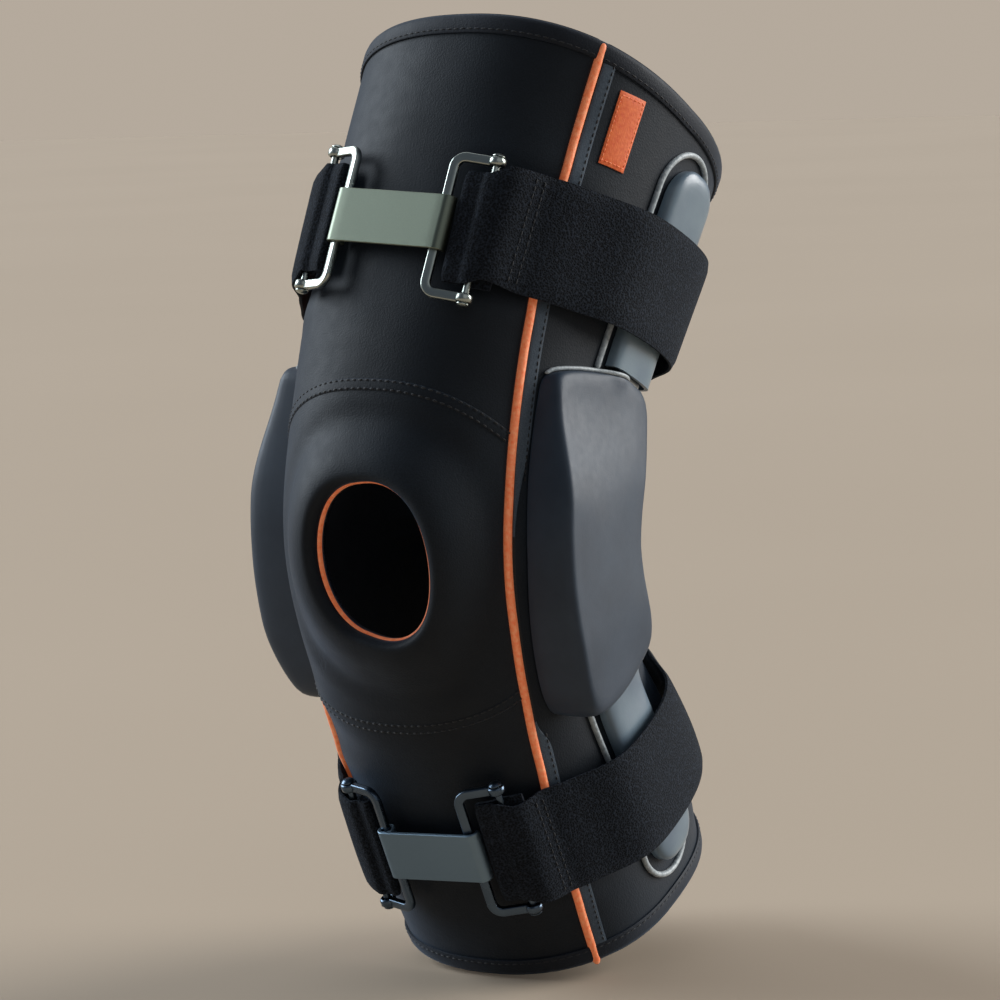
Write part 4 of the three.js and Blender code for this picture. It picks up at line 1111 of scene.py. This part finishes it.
def make_arm(name, side, level):
    """A bar bent to the leg, with a toothed head at its pin, a hole, and eased edges."""
    half = LEVELS[level]
    length, thickness = ARM_LENGTH[half], ARM_X[1] - ARM_X[0]
    bar = extruded(bar_outline(-5, length, ARM_HALF_WIDTH, 7), 0, thickness)
    mesh = combined(extruded(gear_outline(half), 0, thickness), bar, "UNION")
    hole = [(PIN_HOLE * math.cos(a), PIN_HOLE * math.sin(a)) for a in np.radians(np.arange(0, 360, 12))]
    mesh = combined(mesh, extruded(hole, -1, thickness + 1), "DIFFERENCE")
    bmesh.ops.remove_doubles(mesh, verts=mesh.verts, dist=0.01)
    bmesh.ops.dissolve_limit(mesh, angle_limit=0.02, verts=mesh.verts, edges=mesh.edges)
    for cut in np.arange(18, length - 8, 3.0):
        geometry = mesh.verts[:] + mesh.edges[:] + mesh.faces[:]
        bmesh.ops.bisect_plane(mesh, geom=geometry, plane_co=(cut, 0, 0), plane_no=(1, 0, 0))
    sharp = [e for e in mesh.edges if len(e.link_faces) == 2 and e.calc_face_angle(0) > 1.2]
    rim = [e for e in sharp if abs(e.verts[0].co.z - e.verts[1].co.z) < 0.1]
    bmesh.ops.bevel(mesh, geom=rim, offset=0.45, segments=2, affect="EDGES", profile=0.5)
    along, back, up = np.array([v.co[:] for v in mesh.verts]).T
    mesh.verts.index_update()
    faces = [tuple(v.index for v in f.verts) for f in mesh.faces]
    mesh.free()
    placed = limb_point(half, along, back, side * (arm_face(side, half, along) + up))
    shape, body = (placed, outward(placed, faces)), LIMBS[level]
    make_piece(f"{name}_{level}_bar", shape, "aluminium", [f"{name}_{level}_arm"], body=body, crease=35)


def make_pocket(name, side, level):
    """The coated channel over the end of an arm: a rounded tongue with its mouth towards the knee."""
    half, half_width = LEVELS[level], POCKET["half_width"]
    end = ARM_LENGTH[half] + POCKET["end"]
    straight = np.linspace(POCKET["from"][half], end - half_width, 20)
    cap = np.sin(np.radians([12, 24, 36, 47, 57, 66, 74, 81, 86, 89.5]))
    along = np.concatenate([straight, end - half_width + half_width * cap])[:, None]
    over = np.clip((along - (end - half_width)) / half_width, 0, 1)
    across = np.radians(np.linspace(0, 180, 45))
    flat, dome = signed_power(np.cos(across), 0.7), np.abs(np.sin(across)) ** 0.42
    shoulder = np.maximum(1 - over**5, 0) ** 0.4
    surfaces = []
    for inset in (0.0, POCKET["wall"]):
        back = (half_width - inset) * np.sqrt(1 - over**2) * flat
        high = -0.5 + (POCKET["height"] + 0.5 - inset) * dome * shoulder
        surfaces.append(limb_point(half, along, back, side * (arm_face(side, half, along) + high)))
    shape, node = grid_shell(*surfaces), f"{name}_{level}_pocket"
    make_piece(f"{node}_tongue", shape, "pocket", [node], body=LIMBS[level], crease=50)


def make_pocket_piping(name, side, level):
    """Grey corded piping in a U round a pocket, running down both sides of the arm to the cover."""
    half, span = LEVELS[level], POCKET_CORD["span"]
    turn = ARM_LENGTH[half] - POCKET_CORD["turn"]
    straight = np.linspace(POCKET_CORD["from"][half], turn, 50)
    bow = np.radians(np.linspace(180, 0, 41))[1:-1]
    along = np.concatenate([straight, turn + span * np.sin(bow), straight[::-1]])
    back = np.concatenate([np.full(50, -span), span * np.cos(bow), np.full(50, span)])
    _, y, z = limb_point(half, along, back, 0.0).T
    path = side_skin(side, y, z, POCKET_CORD["out"])
    above = side_skin(side, y, z, POCKET_CORD["out"] + 1)
    direction = unit(np.gradient(path, axis=0))
    across = unit(np.cross(direction, above - path))
    loops = cord_loops(path, across, unit(np.cross(across, direction)), POCKET_CORD["radius"], 12)
    replaced = [f"{name}_{level}_pocket_piping"]
    make_piece(f"{name}_{level}_pocket_cord", tube(rounded(loops)), "grey_cord_and_highlight", replaced, level=level)


def make_pad(name, side):
    """The foam pad between the hinge and the sleeve, softly pillowed."""
    v, u = np.meshgrid(np.linspace(-1, 1, 25), np.linspace(-1, 1, 17), indexing="ij")
    edge = 1 - np.maximum(np.abs(u), np.abs(v)) ** 6
    y = PAD["middle"] + PAD["half_width"] * u * np.sqrt(1 - v**2 / 2.4)
    z = PAD["half_height"] * v * np.sqrt(1 - u**2 / 2.4)
    faces = (PAD["outer"], PAD["inner"])
    shape = grid_shell(*(np.stack([side * (x + crown * edge), y, z], -1) for x, crown in faces))
    body, replaced = f"{name}_hinge_plate", [f"{name}_condyle_pad"]
    piece = make_piece(f"{name}_foam_pad", shape, "foam", replaced, body=body, crease=60)


def dress_plates():
    """The hidden plates and pins keep their CAD shape, in steel."""
    looks = dict.fromkeys(("inner_plate", "outer_plate"), "plate")
    looks.update(dict.fromkeys(("upper_pin", "lower_pin", "stop_pin"), "polished"))
    for name in SIDES:
        for part, look in looks.items():
            for material_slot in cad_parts[f"{name}_{part}"].material_slots:
                material_slot.material = LOOKS[look]


# ---- The straps and buckles ----
def strap_middle(strap, degrees):
    return strap["s"] + strap["rise"] * np.sin(np.radians(degrees)) ** 2


def buckle_axes(strap):
    """The direction of a buckle's bars, and the middles of its four axes."""
    middle = (strap["ends"][1] + strap["ends"][2]) / 2
    s = strap_middle(strap, middle)
    origin = skin(s, middle, BUCKLE["out"])
    up = unit(skin(s + 20, middle, BUCKLE["out"]) - skin(s - 20, middle, BUCKLE["out"]))
    points = [skin(strap_middle(strap, a), a, BUCKLE["out"]) for a in strap["ends"]]
    return up, [p - up * np.dot(p - origin, up) for p in points]


def chain_frame(up, start, end):
    """Axes in the plane of two of a buckle's axes: along, out and up, as rows, and the origin."""
    along = unit(end - start)
    out = np.cross(along, up)
    if np.dot(out, start) < 0:
        out = -out
    return np.array([along, out, up]), start


def in_chain(chain, points):
    axes, origin = chain
    return origin + np.asarray(points, float) @ axes


def joined(name, parts, chain, look, body, replaced, crease=50):
    """Several closed bodies in a buckle's plane as one piece."""
    points, faces, start = [], [], 0
    for part, part_faces in parts:
        placed = in_chain(chain, part)
        points.append(placed)
        faces += [tuple(v + start for v in f) for f in outward(placed, part_faces)]
        start += len(part)
    make_piece(name, (np.concatenate(points), faces), look, [replaced], body=body, crease=crease)


def wire_path(reach):
    """The middle line of a C-shaped wire, from eye to eye."""
    span, corner = WIRE["half_span"], WIRE["corner"]
    turn = np.radians(np.linspace(0, 90, 11))
    top = [(x, 0, span) for x in np.linspace(2.4, reach - corner, 5)[:-1]]
    start, high = reach - corner, span - corner
    top += [(start + corner * math.sin(t), 0, high + corner * math.cos(t)) for t in turn]
    bar = [(reach, 0, z) for z in np.linspace(span - corner, corner - span, 14)[1:-1]]
    return np.array(top + bar + [(x, y, -z) for x, y, z in top[::-1]])


def make_wire(name, chain, reach, look, body, replaced):
    """A flat C-shaped wire with eased corners, and an eye at each end."""
    path = wire_path(reach)
    out = np.tile([0.0, 1.0, 0.0], (len(path), 1))
    across = unit(np.cross(unit(np.gradient(path, axis=0)), out))
    eases = [(0, WIRE_EASE), (0.3 * WIRE_EASE, 0.3 * WIRE_EASE), (WIRE_EASE, 0)]
    section = [
        (c * (WIRE["half_width"] - i), k * (WIRE["half_height"] - j))
        for c, k in ((1, 1), (-1, 1), (-1, -1), (1, -1))
        for i, j in eases[:: c * k]
    ]
    widths, heights = np.array(section).T[:, :, None]
    parts = [tube(path[:, None] + across[:, None] * widths + out[:, None] * heights)]
    near, far, half = BUCKLE["pin"] + BUCKLE["play"], BUCKLE["eye"], WIRE["radius"]
    bottom = [(near + 0.3, -half), (far - 0.6, -half), (far, 0.6 - half)]
    ring = bottom + [(r, -z) for r, z in bottom[::-1]] + [(near, half - 0.3), (near, 0.3 - half)]
    for height in (WIRE["half_span"], -WIRE["half_span"]):
        parts.append(tube(turned([(r, height + z) for r, z in ring], 12), ring=True))
    joined(name, parts, chain, look, body, replaced)


def make_strap_pin(name, chain, look, body, replaced):
    """The headed pin through a wire's eyes and the fold of the strap."""
    end = WIRE["half_span"] + WIRE["radius"] + 0.3
    pin, head = BUCKLE["pin"], BUCKLE["head"]
    half = [(0.05, end + 1.5), (1.2, end + 1.35), (2.0, end + 1.0), (head, end + 0.45)]
    half += [(head, end + 0.1), (head - 0.2, end), (pin, end - 0.02)]
    loops = np.transpose(turned(half + [(r, -z) for r, z in half[::-1]], 18), (1, 0, 2))
    joined(name, [tube(loops)], chain, look, body, replaced, 40)


def make_link(name, chain, length, look, body):
    """A strip curled into a barrel at one end and hooked over the other wire's bar at the other."""
    middle, thick, end = LINK["middle"], LINK["half_thickness"], length + LINK["past"]
    curl = np.radians(np.linspace(90 + LINK["curl"], 90, 36))
    line = [(middle * math.cos(t), middle * math.sin(t)) for t in curl]
    line += [(x, middle) for x in np.linspace(0, end, 14)[1:-1]]
    hook = np.radians(np.linspace(0, 90, 10))
    line += [(end + middle * math.sin(t), middle * math.cos(t)) for t in hook]
    line = np.array(line + [(end + middle, -0.7), (end - 0.05 + middle, -1.3)])
    along = unit(np.gradient(line, axis=0))
    normal = np.stack([-along[:, 1], along[:, 0]], -1)
    inset = 0.65
    corners = [(1, inset), (inset, 1), (-inset, 1), (-1, inset)]
    widths, heights = np.array(corners + [(-w, -h) for w, h in corners]).T
    across = (LINK["half_width"] - (1 - np.abs(widths)) * thick) * np.sign(widths)
    flat = line[:, None] + normal[:, None] * heights[:, None] * thick
    loops = np.dstack([flat, np.broadcast_to(across, flat.shape[:2])])
    joined(name, [tube(loops)], chain, look, body, body, 40)


def strap_lift(degrees):
    """How far the webbing stands off the skin: more where it passes over an arm's pocket."""
    middles = (OVER_ARM["angle"], 180 - OVER_ARM["angle"])
    over = sum(np.exp(-(((degrees - middle) / OVER_ARM["spread"]) ** 4)) for middle in middles)
    return STRAP["clear"] + OVER_ARM["lift"] * over


def strap_profile(half_width):
    """(across, out) round the webbing: a soft face, thin selvedges and a flat back."""
    across, thickness = np.linspace(1, -1, STRAP_POINTS), STRAP["thickness"]
    crown = 1 - 0.45 * np.abs(across) ** 14
    top = [(w * half_width, thickness * (0.15 + 0.85 * c)) for w, c in zip(across, crown)]
    bottom = [(w * half_width * 0.995, thickness * 0.15 * abs(w) ** 8) for w in across[::-1]]
    return np.array(top + bottom)


def fold_path(reach):
    """The inner face of the webbing's end: under the pin, out to a sewn tab near the bar, and back over
    the pin, as along, out and the direction it faces."""
    hole, tip = BUCKLE["pin"] + BUCKLE["play"], reach - STRAP["tab_gap"] - STRAP["thickness"]
    down = -math.pi / 2
    under = [(along, -hole, down) for along in (-8.5, -5, -1.5, 0.5)]
    under += [(hole, -hole * 0.8, down * 0.8), (hole * 1.6, -0.35, down * 0.85)]
    under += [(hole * 2.2, -0.15, down)]
    under += [(a, -0.15, down) for a in np.linspace(hole * 2.2 + 1.5, tip, 6)]
    nose = [(tip, 0.15 * math.sin(t), t) for t in np.radians(np.linspace(-70, 70, 9))]
    over = [(a, -out, -direction) for a, out, direction in under[::-1] if a > 0]
    return under + nose + over[:-1] + [(0.4, hole, -down)]


def fold_loops(up, pin, bar):
    """Loops of the webbing's section along its folded end."""
    chain = chain_frame(up, pin, bar)
    across, high = strap_profile(STRAP["end_half_width"]).T
    loops = []
    for along, out, direction in fold_path(np.linalg.norm(bar - pin)):
        flat = [along + high * math.cos(direction), out + high * math.sin(direction), across]
        loops.append(in_chain(chain, np.stack(flat, -1)))
    return loops


def make_strap(name, strap, up, points):
    outer_pin, outer_bar, inner_bar, inner_pin = points
    first, last = strap["ends"][0] + 4, 360 + strap["ends"][3] - 4
    over_pin = BUCKLE["out"] + BUCKLE["pin"] + BUCKLE["play"]
    angles = np.linspace(first, last, 150)
    settled = smooth(np.minimum(angles - first, last - angles), 0, 15)
    lift = over_pin * (1 - settled) + strap_lift(angles) * settled
    half = STRAP["end_half_width"] * (1 - settled) + STRAP["half_width"] * settled
    run = []
    for s, angle, up_by, wide in zip(strap_middle(strap, angles), angles, lift, half):
        across, high = strap_profile(wide).T
        run.append(skin(s + across, angle, up_by + high))
    ends = fold_loops(up, outer_pin, outer_bar), fold_loops(up, inner_pin, inner_bar)
    loops = np.array(ends[0] + run + ends[1][::-1])
    replaced = [f"{name}_strap"]
    piece = make_piece(f"{name}_webbing", tube(loops), "webbing", replaced, body=name, crease=70)
    for end, start, sign in (("outer", first, 1), ("inner", last, -1)):
        for row, away in enumerate(STRAP_STITCHES["rows"]):
            angle = start + sign * away
            off = np.interp(angle, angles, lift) + STRAP["thickness"] + 0.1
            make_strap_stitches(f"{name}_{end}_strap_stitches_{row}", name, strap, angle, off)


def make_strap_stitches(name, body, strap, angle, out):
    """A row of stitches across the webbing."""
    half_span = STRAP_STITCHES["half_span"]
    s = strap_middle(strap, angle) + np.linspace(-half_span, half_span, STRAP_STITCHES["count"])
    points = skin(s, angle, out)
    along = unit(np.gradient(points, axis=0))
    normal = unit(skin(s, angle, out + 1) - points)
    across = unit(np.cross(along, normal))
    stitches(name, points, along, across, normal, length=2.0, radius=0.3, body=body)


def make_buckles():
    looks = {"thigh": ("polished", "satin"), "calf": ("dark_steel", "dark_satin")}
    for name, strap in STRAPS.items():
        up, points = buckle_axes(strap)
        outer_pin, outer_bar, inner_bar, inner_pin = points
        wire_look, link_look = looks[name]
        node = f"{name}_buckle"
        wires = {
            "outer": ("lateral", outer_pin, outer_bar, name),
            "inner": ("medial", inner_pin, inner_bar, f"{node}_frame"),
        }
        for part, (side, pin, bar, body) in wires.items():
            chain, reach = chain_frame(up, pin, bar), np.linalg.norm(bar - pin)
            make_wire(f"{node}_{part}_wire", chain, reach, wire_look, body, f"{node}_{side}_frame")
        for part, (side, pin, bar, _) in wires.items():
            chain = chain_frame(up, pin, bar)
            make_strap_pin(f"{node}_{part}_rivet", chain, wire_look, name, f"{node}_{side}_pin")
        chain, length = chain_frame(up, inner_bar, outer_bar), np.linalg.norm(outer_bar - inner_bar)
        make_link(f"{node}_hook_plate", chain, length, link_look, f"{node}_link")
        make_strap(name, strap, up, points)


# ---- The studio ----
CAMERA = {"azimuth": 33.0, "elevation": 5.0, "roll": -1.0, "tilt": 2.5, "distance": 1.5, "lens": 133.9}
CAMERA_AIM = (0.0194, 0.0181)
SKY_LIGHT = (0.085, 0.10, 0.125, 1.0)
BACKDROP = (0.46, 0.40, 0.335, 1.0)
SUNS = {  # towards each light as right, back and up of the camera; strength, softness in degrees, colour
    "key": ((1.0, -0.22, 0.42), 3.8, 44, (1.0, 0.99, 0.97)),
    "fill": ((-1.0, -0.38, 0.50), 3.0, 40, (0.85, 0.93, 1.0)),
    "top": ((-0.1, -0.5, 1.0), 0.5, 50, (1.0, 1.0, 1.0)),
    "front": ((0.4, 1.0, 0.6), 0.25, 60, (1.0, 1.0, 1.0)),
}
FLOOR_SIZE = 12.0


def camera_axes():
    a, e, roll = (math.radians(CAMERA[k]) for k in ("azimuth", "elevation", "roll"))
    back = Vector((math.sin(a) * math.cos(e), -math.cos(a) * math.cos(e), math.sin(e)))
    level = Vector((math.cos(a), math.sin(a), 0))
    upright = back.cross(level)
    right = level * math.cos(roll) + upright * math.sin(roll)
    up = upright * math.cos(roll) - level * math.sin(roll)
    untilt = Matrix.Rotation(math.radians(-CAMERA["tilt"]), 3, "X")
    return untilt @ right, untilt @ up, untilt @ back


def make_camera():
    right, up, back = camera_axes()
    data = bpy.data.cameras.new("camera")
    data.lens, data.sensor_width = CAMERA["lens"], 36
    camera = link_object("camera", data)
    place = right * CAMERA_AIM[0] + up * CAMERA_AIM[1] + back * CAMERA["distance"]
    camera.matrix_world = Matrix.Translation(place) @ Matrix((right, up, back)).transposed().to_4x4()
    bpy.context.scene.camera = camera


def make_lights():
    right, up, back = camera_axes()
    for name, (towards, strength, softness, colour) in SUNS.items():
        data = bpy.data.lights.new(name, "SUN")
        data.energy, data.angle, data.color = strength, math.radians(softness), colour
        light = link_object(name, data)
        direction = right * towards[0] + back * towards[1] + up * towards[2]
        light.rotation_mode = "QUATERNION"
        light.rotation_quaternion = (-direction).to_track_quat("-Z", "Y")
    world = bpy.data.worlds.new("studio")
    world.use_nodes = True
    nodes, links = world.node_tree.nodes, world.node_tree.links
    seen, shades = nodes.new("ShaderNodeLightPath"), nodes.new("ShaderNodeMix")
    shades.data_type = "RGBA"
    shades.inputs["A"].default_value, shades.inputs["B"].default_value = SKY_LIGHT, BACKDROP
    links.new(seen.outputs["Is Camera Ray"], shades.inputs["Factor"])
    links.new(shades.outputs["Result"], nodes["Background"].inputs["Color"])
    bpy.context.scene.world = world


def make_floor():
    height = cad_box[0][2] - 0.001
    corners = [(x * FLOOR_SIZE, y * FLOOR_SIZE, height) for x, y in ((-1, -1), (1, -1), (1, 1), (-1, 1))]
    mesh = bpy.data.meshes.new("floor")
    mesh.from_pydata(corners, [], [(0, 1, 2, 3)])
    mesh.materials.append(floor_look())
    link_object("floor", mesh)


bpy.context.scene.view_settings.view_transform = "Standard"
make_camera()
make_sleeve()
make_hems()
make_pipings()
make_seams()
make_label()
for side_name, side_sign in SIDES.items():
    make_cover(side_name, side_sign)
    make_pad(side_name, side_sign)
    for level_name in LEVELS:
        make_arm(side_name, side_sign, level_name)
        make_pocket(side_name, side_sign, level_name)
        make_pocket_piping(side_name, side_sign, level_name)
dress_plates()
make_buckles()
make_lights()
make_floor()
